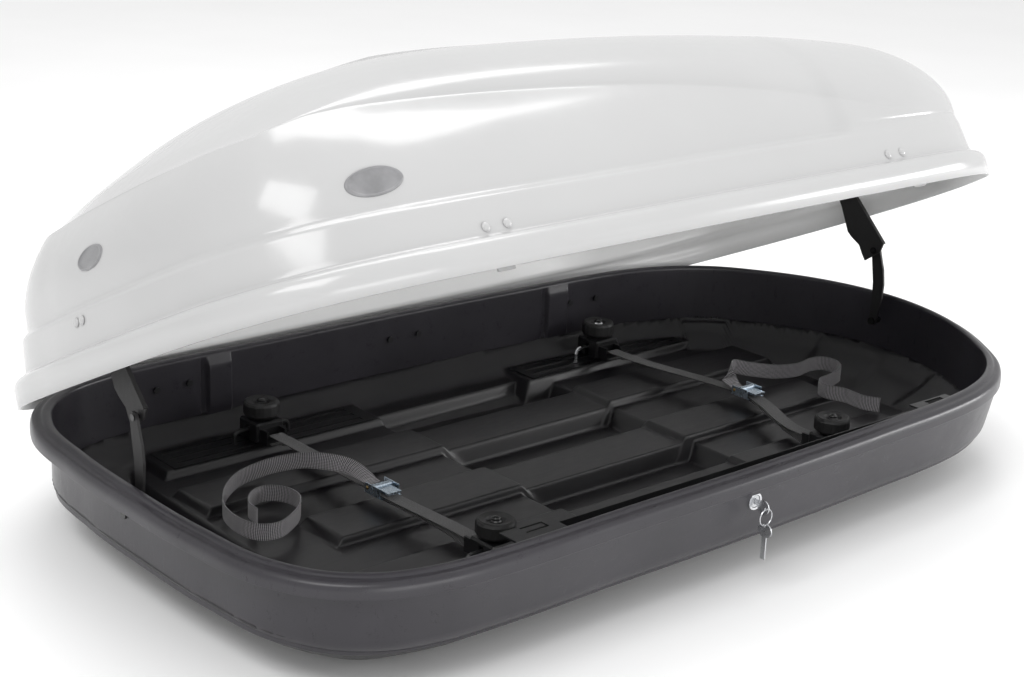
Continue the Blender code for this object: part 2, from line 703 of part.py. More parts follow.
# ---------------------------------------------------------------- clamps
def make_clamp(tag):
    """Clamp: saddle block with a strap eye, knob, threaded stud and a steel claw."""
    cx, cy = CLAMPS[tag]
    inward = -1.0 if tag.startswith("far") else 1.0
    floor = PLATE_TOP + GAP

    def reach(a, b):
        return sorted((cy + inward * a, cy + inward * b))

    bm = bmesh.new()
    add_box(bm, (cx - 0.025, cy - 0.0260, floor), (cx + 0.025, cy + 0.0260, BODY_TOP))
    body = from_bmesh(f"clamp_body_{tag}", bm)
    apply_modifier(body, "BEVEL", width=0.003, segments=1, limit_method="ANGLE")
    y0, y1 = reach(0.0200, 0.0440)
    bm = bmesh.new()
    add_box(bm, (cx - 0.0185, y0, floor + 0.0012), (cx + 0.0185, y1, 0.0700))
    cut(body, from_bmesh(f"cut_eye_block_{tag}", bm, cutter=True), "UNION")
    bm = bmesh.new()
    y0, y1 = reach(0.0270, 0.0390)
    add_box(bm, (cx - 0.0142, y0, 0.040), (cx + 0.0142, y1, 0.090))
    cut(body, from_bmesh(f"cut_eye_window_{tag}", bm, cutter=True))
    y0, y1 = reach(0.0380, 0.0500)
    for low, high in ((0.0400, 0.0512), (0.0608, 0.0900)):
        bm = bmesh.new()
        add_box(bm, (cx - 0.0142, y0, low), (cx + 0.0142, y1, high))
        cut(body, from_bmesh(f"cut_eye_{tag}_{low}", bm, cutter=True))
    bm = bmesh.new()
    add_box(bm, (cx - 0.040, cy - 0.0045, 0.040), (cx + 0.040, cy + 0.0045, 0.0720))
    cut(body, from_bmesh(f"cut_claw_way_{tag}", bm, cutter=True))
    bm = bmesh.new()
    add_cylinder(bm, (cx, cy, 0.040), (cx, cy, 0.0735), 0.0095, 20)
    cut(body, from_bmesh(f"cut_boss_way_{tag}", bm, cutter=True))
    bm = bmesh.new()
    add_cylinder(bm, (cx, cy, 0.060), (cx, cy, 0.090), 0.0034, 16)
    cut(body, from_bmesh(f"cut_stud_way_{tag}", bm, cutter=True))
    clean(body)
    finish(body, "moulded")

    # Knob: a ring of flutes round a dished top, bored for its stud.
    bore = 0.0043
    profile = ((bore, KNOB_BOTTOM), (0.0245, KNOB_BOTTOM), (0.0270, 0.0850),
               (KNOB_R, 0.0880), (KNOB_R, 0.1030), (0.0268, 0.1065), (0.0235, KNOB_TOP),
               (0.0150, 0.1062), (0.0115, 0.1020), (bore, 0.1018))
    bm = bmesh.new()
    rings = []
    for radius, z in profile:
        ring = []
        for i in range(28):
            a = 2 * math.pi * i / 28
            dent = 0.03 if (i % 4) == 0 and 0.026 < radius else 0.0
            r = radius * (1.0 - dent)
            ring.append((cx + r * math.cos(a), cy + r * math.sin(a), z))
        rings.append(ring)
    rows = [[bm.verts.new(p) for p in ring] for ring in rings]
    for lower, upper in zip(rows, rows[1:] + rows[:1]):
        for i in range(28):
            j = (i + 1) % 28
            bm.faces.new((lower[i], lower[j], upper[j], upper[i]))
    finish(from_bmesh(f"clamp_knob_{tag}", bm), "knob")

    # Stud: screwed into the claw's boss, with a domed head in the knob's dish.
    bm = bmesh.new()
    stud = ((0.0006, 0.0530), (0.0030, 0.0530), (0.0030, 0.0795), (0.0039, 0.0797),
            (0.0039, 0.1021), (0.0085, 0.1022), (0.0085, 0.1040), (0.0070, 0.1062),
            (0.0040, 0.1074), (0.0006, 0.1078))
    add_lathe(bm, stud, (cx, cy, 0.0), 12)
    finish(from_bmesh(f"clamp_stud_{tag}", bm), "steel", smooth=True)

    # Claw: a rod bent down at both ends to reach round the roof bar.
    bend = 0.009
    spine = [(cx - CLAW_SPAN, cy, 0.006)]
    for k in range(4):
        a = math.pi - k * math.pi / 6
        spine.append((cx - CLAW_SPAN + bend + bend * math.cos(a), cy,
                      CLAW_Z - bend + bend * math.sin(a)))
    for k in range(4):
        a = math.pi / 2 - k * math.pi / 6
        spine.append((cx + CLAW_SPAN - bend + bend * math.cos(a), cy,
                      CLAW_Z - bend + bend * math.sin(a)))
    spine.append((cx + CLAW_SPAN, cy, 0.006))
    bm = bmesh.new()
    sweep(bm, spine, CLAW_R, 8)
    claw = from_bmesh(f"clamp_claw_{tag}", bm)
    bm = bmesh.new()
    add_cylinder(bm, (cx, cy, 0.0580), (cx, cy, 0.0700), 0.0075, 18)
    cut(claw, from_bmesh(f"cut_boss_{tag}", bm, cutter=True), "UNION")
    bm = bmesh.new()
    add_cylinder(bm, (cx, cy, 0.050), (cx, cy, 0.080), 0.0031, 16)
    cut(claw, from_bmesh(f"cut_boss_bore_{tag}", bm, cutter=True))
    clean(claw)
    finish(claw, "steel", smooth=True)


# ---------------------------------------------------------------- hinges
def fuse(target, bm, name):
    """Union every body of a bmesh into the target, one after the other."""
    bmesh.ops.recalc_face_normals(bm, faces=bm.faces)
    bm.verts.index_update()
    left = set(bm.verts)
    bodies = []
    while left:
        body = {left.pop()}
        edge = list(body)
        while edge:
            vert = edge.pop()
            for link in vert.link_edges:
                other = link.other_vert(vert)
                if other not in body:
                    body.add(other)
                    edge.append(other)
        left -= body
        bodies.append(sorted(body, key=lambda v: v.index))
    for i, body in enumerate(sorted(bodies, key=lambda verts: verts[0].index)):
        part = bmesh.new()
        copies = {vert: part.verts.new(vert.co) for vert in body}
        for face in bm.faces:
            if face.verts[0] in copies:
                part.faces.new([copies[v] for v in face.verts])
        cut(target, from_bmesh(f"{name}_{i}", part, cutter=True), "UNION")
    bm.free()


def keyhole(root_y, root_half):
    """Barrel with a web running back to root_y, as a (y, z) outline."""
    side = 1.0 if root_y < HINGE_Y else -1.0
    line = [(root_y, HINGE_Z - root_half)]
    for k in range(13):
        a = math.radians(-150 + 25 * k)
        line.append((HINGE_Y + side * BARREL_R * math.cos(a), HINGE_Z + BARREL_R * math.sin(a)))
    line.append((root_y, HINGE_Z + root_half))
    return line


def make_hinges():
    """Three knuckle hinges between the far wall's outside and the lid's skirt."""
    half = 0.0375
    for x, tag in zip(HINGE_X, ("nose", "mid", "tail")):
        bm = bmesh.new()
        add_strip(bm, x - half, x + half, 0.0040, 0.0053, 0.1220, 0.1463, 1.0)
        leaf = from_bmesh(f"hinge_tub_leaf_{tag}", bm)
        bm = bmesh.new()
        for s in (-1, 1):
            k0, k1 = sorted((x + s * 0.0155, x + s * (half - 0.0006)))
            root = max(half_width(k0), half_width(k1)) + 0.0042
            add_prism(bm, keyhole(root, 0.0014), k0, k1, 0)
        for dx in (-RIVET_DX, RIVET_DX):
            rivet = ((0.0054, -0.0084), (0.0054, -0.0060), (0.0024, -0.0058), (0.0024, 0.0008))
            skin = half_width(x + dx) + 0.0040
            add_turned(bm, rivet, (x + dx, skin, RIVET_Z), 1, 10)
        fuse(leaf, bm, f"cut_tub_knuckle_{tag}")
        bm = bmesh.new()
        add_turned(bm, ((0.00155, -0.05), (0.00155, 0.05)), (x, HINGE_Y, HINGE_Z), 0, 12)
        cut(leaf, from_bmesh(f"cut_tub_bore_{tag}", bm, cutter=True))
        bm = bmesh.new()
        add_box(bm, (x - 0.0157, HINGE_Y - 0.030, 0.1385), (x + 0.0157, HINGE_Y + 0.02, 0.160))
        cut(leaf, from_bmesh(f"cut_tub_leaf_{tag}", bm, cutter=True))
        clean(leaf)
        finish(leaf, "black_steel")

        bm = bmesh.new()
        add_strip(bm, x - half, x + half, 0.0314, 0.0327, 0.1470, 0.1575, 1.0)
        leaf = from_bmesh(f"hinge_lid_leaf_{tag}", bm)
        low = min(half_width(x - 0.0148), half_width(x + 0.0148))
        bm = bmesh.new()
        add_strip(bm, x - 0.0145, x + 0.0145, 0.0315, 0.0326, 0.1420, 0.1500, 1.0)
        add_prism(bm, keyhole(low + 0.0320, 0.0013), x - 0.0151, x + 0.0151, 0)
        fuse(leaf, bm, f"cut_lid_knuckle_{tag}")
        bm = bmesh.new()
        add_turned(bm, ((0.00155, -0.05), (0.00155, 0.05)), (x, HINGE_Y, HINGE_Z), 0, 12)
        cut(leaf, from_bmesh(f"cut_lid_leaf_{tag}", bm, cutter=True))
        clean(leaf)
        open_lid(finish(leaf, "black_steel"))

        bm = bmesh.new()
        add_turned(bm, ((0.00148, -0.0385), (0.00148, 0.0385)), (x, HINGE_Y, HINGE_Z), 0, 12)
        finish(from_bmesh(f"hinge_pin_{tag}", bm), "steel", smooth=True)


# ---------------------------------------------------------------- lid stays
def channel(bm, outline_yz, x0, x1):
    """A flat-sided piece with the given outline, between two X planes."""
    add_prism(bm, outline_yz, x0, x1, 0)


def make_stays():
    """Folding stays: a bowed lower arm, a wedge-shaped upper arm, pins and lid brackets."""
    for end, x in STAY_X.items():
        out = 1.0 if x > 0 else -1.0
        shift = STAY_SHIFT[end]
        ty, tz = STAY_TUB[0] + shift, STAY_TUB[1]
        ky, kz = STAY_KNEE[0] + shift, STAY_KNEE[1]
        py, pz = STAY_LID[0] + shift, STAY_LID[1]

        def span(a, b):
            return sorted((x + out * a, x + out * b))

        # Lower arm, bowed towards the lock side.
        rows = ((0.0, 0.0, 0.0075), (0.15, -0.0035, 0.0090), (0.35, -0.0075, 0.0105),
                (0.55, -0.0085, 0.0118), (0.75, -0.0055, 0.0122), (0.90, -0.0015, 0.0105),
                (1.0, 0.0, 0.0085))
        left, right = [], []
        for share, bow, half in rows:
            y = ty + (ky - ty) * share + bow
            z = tz + (kz - tz) * share
            left.append((y + half, z))
            right.append((y - half, z))
        foot = [(ty - 0.0055, tz - 0.0065), (ty + 0.0055, tz - 0.0065)]
        head = [(ky + 0.0045, kz + 0.0070), (ky - 0.0045, kz + 0.0070)]
        arm_line = foot + left + head + list(reversed(right))
        x0, x1 = span(0.0010, 0.0050)
        bm = bmesh.new()
        channel(bm, arm_line, x0, x1)
        lower = from_bmesh(f"stay_lower_{end}", bm)
        bm = bmesh.new()
        add_cylinder(bm, (x - 0.03, ty, tz), (x + 0.03, ty, tz), 0.0032, 14)
        add_cylinder(bm, (x - 0.03, ky, kz), (x + 0.03, ky, kz), 0.0032, 14)
        cut(lower, from_bmesh(f"cut_lower_{end}", bm, cutter=True))
        finish(lower, "moulded")

        # Upper arm: outline from the knuckle to the lid pivot.
        line = ((0.0165, 0.2730), (0.0225, 0.2560), (0.0540, 0.2330), (0.0620, 0.2440),
                (0.0700, 0.2580), (0.0880, 0.2680), (0.0985, 0.2760), (0.1180, 0.3190),
                (0.1380, 0.3490), (0.1500, 0.3640), (0.1470, 0.3760), (0.1340, 0.3790),
                (0.1200, 0.3740))
        line = [(y + shift, z) for y, z in line]
        x0, x1 = span(-0.0062, -0.0032)
        bm = bmesh.new()
        channel(bm, line, x0, x1)
        upper = from_bmesh(f"stay_upper_{end}", bm)
        x0, x1 = span(-0.0045, 0.0006)
        edge = (line[0], line[-1])
        dy, dz = edge[1][0] - edge[0][0], edge[1][1] - edge[0][1]
        size = math.hypot(dy, dz)
        ny, nz = dz / size, -dy / size
        flange = (edge[0], edge[1], (edge[1][0] + ny * 0.003, edge[1][1] + nz * 0.003),
                  (edge[0][0] + ny * 0.003, edge[0][1] + nz * 0.003))
        bm = bmesh.new()
        channel(bm, flange, x0, x1)
        cut(upper, from_bmesh(f"cut_flange_{end}", bm, cutter=True), "UNION")
        bm = bmesh.new()
        add_cylinder(bm, (x - 0.03, ky, kz), (x + 0.03, ky, kz), 0.0032, 14)
        cut(upper, from_bmesh(f"cut_upper_{end}", bm, cutter=True))
        bm = bmesh.new()
        add_cylinder(bm, (x + out * -0.0040, py, pz), (x + out * 0.0030, py, pz), 0.0060, 16)
        cut(upper, from_bmesh(f"cut_lid_boss_{end}", bm, cutter=True), "UNION")
        clean(upper)
        finish(upper, "moulded")

        # Knee pin through both arms, riveted over at each side.
        bm = bmesh.new()
        shape = ((0.0060, -0.0086), (0.0060, -0.0066), (0.0030, -0.0064), (0.0030, 0.0054),
                 (0.0050, 0.0056), (0.0050, 0.0068))
        add_turned(bm, [(r, out * d) for r, d in shape], (x, ky, kz), 0)
        finish(from_bmesh(f"stay_knee_pin_{end}", bm), "steel", smooth=True)

        # Bolt that carries the lower arm on the end wall, with a spacer and a nut outside.
        wall = abs(end_x(end, ty)) - abs(x)
        bm = bmesh.new()
        shape = ((0.0066, -0.0030), (0.0066, 0.0006), (0.0030, 0.0007), (0.0030, 0.0053),
                 (0.0060, 0.0054), (0.0060, wall - 0.0042), (0.0032, wall - 0.0041),
                 (0.0032, wall + 0.0050), (0.0064, wall + 0.0051), (0.0064, wall + 0.0085))
        add_turned(bm, [(r, out * d) for r, d in shape], (x, ty, tz), 0)
        finish(from_bmesh(f"stay_bolt_{end}", bm), "steel", smooth=True)

        # Bracket on the lid's end wall, riveted through it.
        cy, cz = closed_point(py, pz)
        far = min(abs(end_x(end, cy - 0.042)), abs(end_x(end, cy + 0.0085)))
        inner = end_skin(end, cz + 0.0060, far) - out * 0.0043
        x0, x1 = sorted((inner, inner - out * 0.0022))
        bm = bmesh.new()
        add_box(bm, (x0, cy - 0.042, cz - 0.0130), (x1, cy + 0.0082, cz + 0.0060))
        bracket = from_bmesh(f"stay_lid_bracket_{end}", bm)
        bm = bmesh.new()
        x0, x1 = sorted((x + out * 0.0038, inner - out * 0.0010))
        add_box(bm, (x0, cy - 0.0080, cz - 0.0110), (x1, cy + 0.0080, cz - 0.0085))
        x0, x1 = sorted((x + out * 0.0036, x + out * 0.0062))
        add_box(bm, (x0, cy - 0.0078, cz - 0.0112), (x1, cy + 0.0078, cz + 0.0080))
        for dy in BRACKET_DY:
            skin = end_skin(end, cz + BRACKET_DZ, abs(end_x(end, cy + dy)))
            length = abs(skin - inner)
            shape = ((0.0024, -length - 0.0011), (0.0024, 0.0012), (0.0050, 0.0014),
                     (0.0042, 0.0032))
            add_turned(bm, [(r, out * d) for r, d in shape], (skin, cy + dy, cz + BRACKET_DZ),
                       0, 10)
        fuse(bracket, bm, f"cut_lid_bracket_{end}")
        clean(bracket)
        open_lid(finish(bracket, "black_steel"))


def end_skin(end, z, edge):
    """X of the closed lid's outer skin on an end wall, where the rim's inner edge is at edge."""
    table = ((CREASE_A, 0.0205), (0.189, 0.022), (0.231, 0.028 if end == "nose" else 0.027))
    inset = along(table, z)
    if end == "nose":
        return -(edge + SKIRT_OUT[0] - inset)
    return edge + SKIRT_OUT[1] - inset


def lid_rivet_holes():
    """Clearance holes in the closed lid for the catch and stay bracket rivets."""
    bm = bmesh.new()
    for cx in CATCH_RIVET_X:
        for dx in (-CATCH_DX, CATCH_DX):
            add_turned(bm, ((0.0028, 0.002), (0.0028, -0.024)),
                       (cx + dx, -half_width(cx + dx), CATCH_Z), 1, 10)
    for end, shift in STAY_SHIFT.items():
        cy, cz = closed_point(STAY_LID[0] + shift, STAY_LID[1])
        out = 1.0 if end == "tail" else -1.0
        for dy in BRACKET_DY:
            skin = end_skin(end, cz, abs(end_x(end, cy + dy)))
            add_turned(bm, ((0.0028, -out * 0.014), (0.0028, out * 0.008)),
                       (skin, cy + dy, cz + BRACKET_DZ), 0, 10)
    return from_bmesh("cut_lid_rivets", bm, cutter=True)


def closed_point(y, z):
    """Where a point of the open lid lies when the lid is closed, in Y and Z."""
    a = math.radians(OPEN_DEG)
    dy, dz = y - HINGE_Y, z - HINGE_Z
    return (HINGE_Y + dy * math.cos(a) - dz * math.sin(a),
            HINGE_Z + dy * math.sin(a) + dz * math.cos(a))


# ---------------------------------------------------------------- lock and catches
def near_skin(z):
    """Offset of the tub's near outer skin at height z."""
    return 0.0095 + (0.0284 - 0.0095) * (z - 0.072) / (0.146 - 0.072)


def make_lock():
    """Escutcheon, turning barrel with a cam, key, spare key on a ring, and the bar."""
    wall = half_width(LOCK_X)
    face = -(wall + near_skin(LOCK_Z) + 0.0030)
    bm = bmesh.new()
    add_cylinder(bm, (LOCK_X, face, LOCK_Z), (LOCK_X, face + 0.020, LOCK_Z), 0.0125, 28)
    ring = from_bmesh("lock_escutcheon", bm)
    bm = bmesh.new()
    add_cylinder(bm, (LOCK_X, face - 0.01, LOCK_Z), (LOCK_X, face + 0.03, LOCK_Z), 0.0094, 28)
    cut(ring, from_bmesh("cut_escutcheon_bore", bm, cutter=True))
    low, high = 0.100, 0.160
    back = [(-(wall + near_skin(low) + 0.0004), low), (-(wall + near_skin(high) + 0.0004), high),
            (-0.30, high), (-0.30, low)]
    bm = bmesh.new()
    add_prism(bm, back, LOCK_X - 0.05, LOCK_X + 0.05, 0)
    cut(ring, from_bmesh("cut_escutcheon_back", bm, cutter=True))
    clean(ring)
    finish(ring, "steel", smooth=True)

    bm = bmesh.new()
    add_cylinder(bm, (LOCK_X, face + 0.0008, LOCK_Z), (LOCK_X, -0.3865, LOCK_Z), 0.0088, 24)
    barrel = from_bmesh("lock_barrel", bm)
    bm = bmesh.new()
    add_box(bm, (LOCK_X - 0.0050, -0.3875, LOCK_Z - 0.0060),
            (LOCK_X + 0.0050, -0.3845, LOCK_Z + 0.0145))
    add_cylinder(bm, (LOCK_X, -0.3860, LOCK_Z + 0.0100), (LOCK_X, -0.3705, LOCK_Z + 0.0100),
                 0.0025, 12)
    fuse(barrel, bm, "cut_barrel_cam")
    bm = bmesh.new()
    add_box(bm, (LOCK_X - 0.0015, face - 0.002, LOCK_Z - 0.0044),
            (LOCK_X + 0.0015, face + 0.0250, LOCK_Z + 0.0044))
    cut(barrel, from_bmesh("cut_keyway", bm, cutter=True))
    clean(barrel)
    finish(barrel, "steel", smooth=False)

    def key_shape(name, tip, top, x, hole, bow_half, bow_shift):
        """A flat key; its blade runs from its bow to the tip."""
        bow = []
        for k in range(20):
            a = 2 * math.pi * k / 20
            bow.append((0.0105 * math.cos(a), bow_shift + bow_half * math.sin(a)))
        bm = bmesh.new()
        add_prism(bm, bow, -0.0010, 0.0010, 0)
        key = from_bmesh(name, bm)
        bm = bmesh.new()
        add_box(bm, (-0.0010, 0.0080, -0.0038), (0.0010, tip, 0.0038))
        cut(key, from_bmesh(f"cut_{name}_blade", bm, cutter=True), "UNION")
        bm = bmesh.new()
        add_cylinder(bm, (-0.01, *hole), (0.01, *hole), 0.0028, 14)
        cut(key, from_bmesh(f"cut_{name}_hole", bm, cutter=True))
        key.data.transform(Matrix.Translation((x, top[0], top[1])))
        clean(key)
        finish(key, "steel")
        return key

    bow_y = face - 0.0150
    key_shape("key", 0.0330, (bow_y, LOCK_Z), LOCK_X, (-0.0060, -0.0045), 0.0104, -0.0036)
    hole = (bow_y - 0.0060, LOCK_Z - 0.0045)
    radius = 0.0120
    bm = bmesh.new()
    loop = []
    for k in range(20):
        a = 2 * math.pi * k / 20
        loop.append(Vector((LOCK_X + radius * math.sin(a),
                            hole[0],
                            hole[1] - radius + radius * math.cos(a))))
    rings = []
    for k, here in enumerate(loop):
        out = (here - Vector((LOCK_X, hole[0], hole[1] - radius))).normalized()
        side = Vector((0.0, 1.0, 0.0))
        ring = []
        for m in range(6):
            b = 2 * math.pi * m / 6
            ring.append(here + out * 0.0008 * math.cos(b) + side * 0.0008 * math.sin(b))
        rings.append(ring)
    rows = [[bm.verts.new(p) for p in ring] for ring in rings]
    for lower, upper in zip(rows, rows[1:] + rows[:1]):
        for i in range(6):
            j = (i + 1) % 6
            bm.faces.new((lower[i], lower[j], upper[j], upper[i]))
    finish(from_bmesh("key_ring", bm), "steel", smooth=True)
    low = hole[1] - 2 * radius
    spare = key_shape("spare_key", 0.0430, (0.0, 0.0), 0.0, (-0.0072, 0.0), 0.0125, 0.0)
    move = (Matrix.Translation((LOCK_X, hole[0], low - 0.0072))
            @ Matrix.Rotation(-math.pi / 2, 4, "X"))
    spare.data.transform(move)

    # Sliding bar with a window for the barrel's pin and a finger at each end.
    y0, y1 = BAR_Y
    bm = bmesh.new()
    add_box(bm, (CATCH_X[0] - 0.0260, y0, 0.1400), (CATCH_X[1] + 0.0120, y1, 0.1590))
    bar = from_bmesh("lock_slide_bar", bm)
    bm = bmesh.new()
    add_box(bm, (LOCK_X - 0.016, y0, 0.1180), (LOCK_X + 0.020, y1, 0.1450))
    for cx in CATCH_X:
        add_box(bm, (cx - 0.0240, TONGUE_Y[0] - 0.0020, 0.1470),
                (cx - 0.0180, y1 - 0.0004, 0.1530))
    fuse(bar, bm, "cut_bar_parts")
    bm = bmesh.new()
    add_box(bm, (LOCK_X - 0.0035, y0 - 0.01, 0.1215), (LOCK_X + 0.0065, y1 + 0.01, 0.1450))
    cut(bar, from_bmesh("cut_bar_window", bm, cutter=True))
    clean(bar)
    finish(bar, "black_steel")

    # Catch plates on the near wall, each with a hole for the lid's tongue.
    for cx, rx, end in zip(CATCH_X, CATCH_RIVET_X, ("nose", "tail")):
        outer = -(min(half_width(cx - 0.050), half_width(cx - 0.024)) - 0.0012)
        inner = -(min(half_width(cx - 0.024), half_width(cx + 0.036)) - 0.0012)
        bm = bmesh.new()
        add_box(bm, (cx - 0.050, outer, 0.1615), (cx - 0.024, -0.3640, 0.1640))
        plate = from_bmesh(f"tub_catch_{end}", bm)
        bm = bmesh.new()
        add_box(bm, (cx - 0.0495, outer + 0.0001, 0.1495), (cx - 0.0245, outer + 0.0022, 0.1630))
        add_box(bm, (cx - 0.0300, inner, 0.1617), (cx + 0.036, -0.3642, 0.1638))
        fuse(plate, bm, f"cut_catch_flange_{end}")
        bm = bmesh.new()
        add_box(bm, (cx - 0.0200, -0.3840, 0.150), (cx + 0.0180, -0.3680, 0.180))
        cut(plate, from_bmesh(f"cut_catch_hole_{end}", bm, cutter=True))
        clean(plate)
        finish(plate, "black_steel")

        # Tongue bracket on the lid, drawn closed.
        t0, t1 = TONGUE_Y
        bm = bmesh.new()
        add_box(bm, (cx - 0.0140, t0, 0.1395), (cx + 0.0140, t1, 0.1923))
        tongue = from_bmesh(f"lid_catch_{end}", bm)
        bm = bmesh.new()
        low = min(half_width(cx - 0.0250), half_width(cx + 0.0250))
        add_box(bm, (cx - 0.0250, -(low + 0.0076), 0.1902), (cx + 0.0250, t1 - 0.0004, 0.1920))
        add_strip(bm, min(cx, rx) - 0.0252, max(cx, rx) + 0.0252, 0.0062, 0.0082, 0.1870, 0.2010,
                  -1.0)
        for dx in (-CATCH_DX, CATCH_DX):
            shape = ((0.0024, 0.0), (0.0024, -0.0078), (0.0050, -0.0080), (0.0042, -0.0096))
            spot = (rx + dx, -(half_width(rx + dx) + 0.0075), CATCH_Z)
            add_turned(bm, shape, spot, 1, 10)
        fuse(tongue, bm, f"cut_tongue_{end}")
        bm = bmesh.new()
        add_box(bm, (cx - 0.0200, t0 - 0.01, 0.1445), (cx - 0.0010, t1 + 0.01, 0.1555))
        cut(tongue, from_bmesh(f"cut_notch_{end}", bm, cutter=True))
        clean(tongue)
        open_lid(finish(tongue, "black_steel"))


# ---------------------------------------------------------------- straps
STRAPS = {
    "nose": {"far": "far_nose", "near": "near_nose", "mid": (-0.357, 0.015),
             "tail": ((-0.357, 0.034, 0.0650), (-0.357, 0.048, 0.0700),
                      (-0.366, 0.094, 0.0800), (-0.400, 0.145, 0.0790),
                      (-0.435, 0.176, 0.0700), (-0.470, 0.187, 0.0620),
                      (-0.504, 0.180, 0.0580), (-0.545, 0.145, 0.0580),
                      (-0.575, 0.100, 0.0580), (-0.585, 0.061, 0.0580),
                      (-0.583, 0.025, 0.0580), (-0.570, 0.005, 0.0580),
                      (-0.545, 0.000, 0.0580), (-0.515, 0.015, 0.0580),
                      (-0.490, 0.035, 0.0580), (-0.470, 0.065, 0.0580),
                      (-0.472, 0.098, 0.0580), (-0.492, 0.118, 0.0580),
                      (-0.520, 0.112, 0.0580), (-0.543, 0.085, 0.0580),
                      (-0.548, 0.055, 0.0580))},
    "tail": {"far": "far_tail", "near": "near_tail", "mid": (0.400, 0.000),
             "tail": ((0.400, 0.019, 0.0650), (0.400, 0.033, 0.0700),
                      (0.404, 0.050, 0.0800), (0.435, 0.070, 0.0840),
                      (0.468, 0.060, 0.0760), (0.520, 0.050, 0.0640),
                      (0.569, 0.041, 0.0600), (0.610, 0.046, 0.0600),
                      (0.636, 0.038, 0.0600), (0.640, 0.010, 0.0600),
                      (0.617, -0.018, 0.0600), (0.575, -0.030, 0.0600),
                      (0.540, -0.036, 0.0600), (0.527, -0.062, 0.0600),
                      (0.539, -0.095, 0.0600), (0.538, -0.134, 0.0600),
                      (0.552, -0.161, 0.0600))},
}
RUN_Z = 0.0628                    # the strap's upper run


def strap_x(end, y):
    """X of the strap's centre line, bowed between its clamps."""
    spec = STRAPS[end]
    fx, fy = CLAMPS[spec["far"]]
    nx, ny = CLAMPS[spec["near"]]
    mx, my = spec["mid"]
    if y > my:
        s = min(1.0, (y - my) / (fy - 0.06 - my))
        return mx + (fx - mx) * (3 * s * s - 2 * s**3)
    s = min(1.0, (my - y) / (my - ny - 0.06))
    return mx + (nx - mx) * (3 * s * s - 2 * s**3)


def make_strap(end):
    """Strap round both eyes, cam buckle and the free tail on its edge."""
    spec = STRAPS[end]
    fx, fy = CLAMPS[spec["far"]]
    nx, ny = CLAMPS[spec["near"]]
    mx, my = spec["mid"]
    bar = 0.0415                  # eye bar's distance from the clamp's centre
    far_bar, near_bar = fy - bar, ny + bar
    wrap = 0.0045

    def eye(bar_y, inward):
        """Turn round an eye bar, from under it to over it."""
        turn = [(bar_y + inward * 0.006, 0.0492), (bar_y, 0.0492),
                (bar_y - inward * wrap, 0.0503), (bar_y - inward * (wrap + 0.0006), 0.0560),
                (bar_y - inward * wrap, 0.0617), (bar_y, RUN_Z), (bar_y + inward * 0.006, RUN_Z)]
        return turn

    path = [(far_bar - 0.042, 0.0600), (far_bar - 0.030, 0.0590), (far_bar - 0.016, 0.0530)]
    path += eye(far_bar, -1.0)
    steps = 9
    start, stop = far_bar - 0.02, near_bar + 0.02
    for k in range(steps + 1):
        path.append((start + (stop - start) * k / steps, RUN_Z))
    path += list(reversed(eye(near_bar, 1.0)))
    path += [(near_bar + 0.018, 0.0520), (near_bar + 0.050, 0.0560),
             (near_bar + 0.100, 0.0585), (my - 0.026, 0.0590), (my - 0.010, 0.0590)]
    spine = [(strap_x(end, y), y, z) for y, z in path]
    bm = bmesh.new()
    add_ribbon(bm, spine, [(1.0, 0.0, 0.0)] * len(spine), WEB_W, WEB_T)
    finish(from_bmesh(f"cargo_strap_{end}", bm), "webbing")

    # Buckle frame: base under the strap, two cheeks with holes for the cam.
    top = RUN_Z - WEB_T / 2 - 0.0004
    bm = bmesh.new()
    add_box(bm, (mx - 0.0180, my - 0.020, top - 0.0011), (mx + 0.0180, my + 0.022, top))
    frame = from_bmesh(f"buckle_frame_{end}", bm)
    bm = bmesh.new()
    for s in (-1, 1):
        x0, x1 = sorted((mx + s * 0.0164, mx + s * 0.0180))
        add_box(bm, (x0, my - 0.0150, top - 0.0008), (x1, my + 0.0200, 0.0760))
    fuse(frame, bm, f"cut_frame_cheeks_{end}")
    bm = bmesh.new()
    add_cylinder(bm, (mx - 0.03, my + 0.004, 0.0710), (mx + 0.03, my + 0.004, 0.0710),
                 0.0021, 12)
    cut(frame, from_bmesh(f"cut_frame_holes_{end}", bm, cutter=True))
    clean(frame)
    finish(frame, "zinc")

    bm = bmesh.new()
    add_cylinder(bm, (mx - 0.0157, my + 0.004, 0.0710), (mx + 0.0157, my + 0.004, 0.0710),
                 0.0058, 16)
    lever = from_bmesh(f"cam_lever_{end}", bm)
    bm = bmesh.new()
    add_cylinder(bm, (mx - 0.0186, my + 0.004, 0.0710), (mx + 0.0186, my + 0.004, 0.0710),
                 0.0019, 12)
    add_box(bm, (mx - 0.0120, my - 0.0280, 0.0688), (mx + 0.0120, my + 0.002, 0.0722))
    fuse(lever, bm, f"cut_lever_{end}")
    clean(lever)
    finish(lever, "zinc")

    knots = spec["tail"]
    fine = 3
    spine = curve_through(knots, fine)
    across = []
    for i in range(len(spine)):
        s = min(1.0, max(0.0, (i / fine - 1.0) / 2.0))
        a = s * math.pi / 2
        side = Vector((1.0, 0.0, 0.0)) * math.cos(a) + Vector((0.0, 0.0, 1.0)) * math.sin(a)
        across.append(side)
    bm = bmesh.new()
    add_ribbon(bm, spine, across, WEB_W, WEB_T)
    finish(from_bmesh(f"strap_tail_{end}", bm), "webbing")


make_tub()
make_lid()
make_plates()
for clamp_tag in CLAMPS:
    make_clamp(clamp_tag)
make_hinges()
make_stays()
make_lock()
for strap_end in STRAPS:
    make_strap(strap_end)
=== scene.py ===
"""Looks of the roof cargo box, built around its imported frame.

Frame: +X towards the tail, +Y the hinge side, +Z up, metres. The lid is drawn closed and
turned open about the hinge axis.
"""
import math

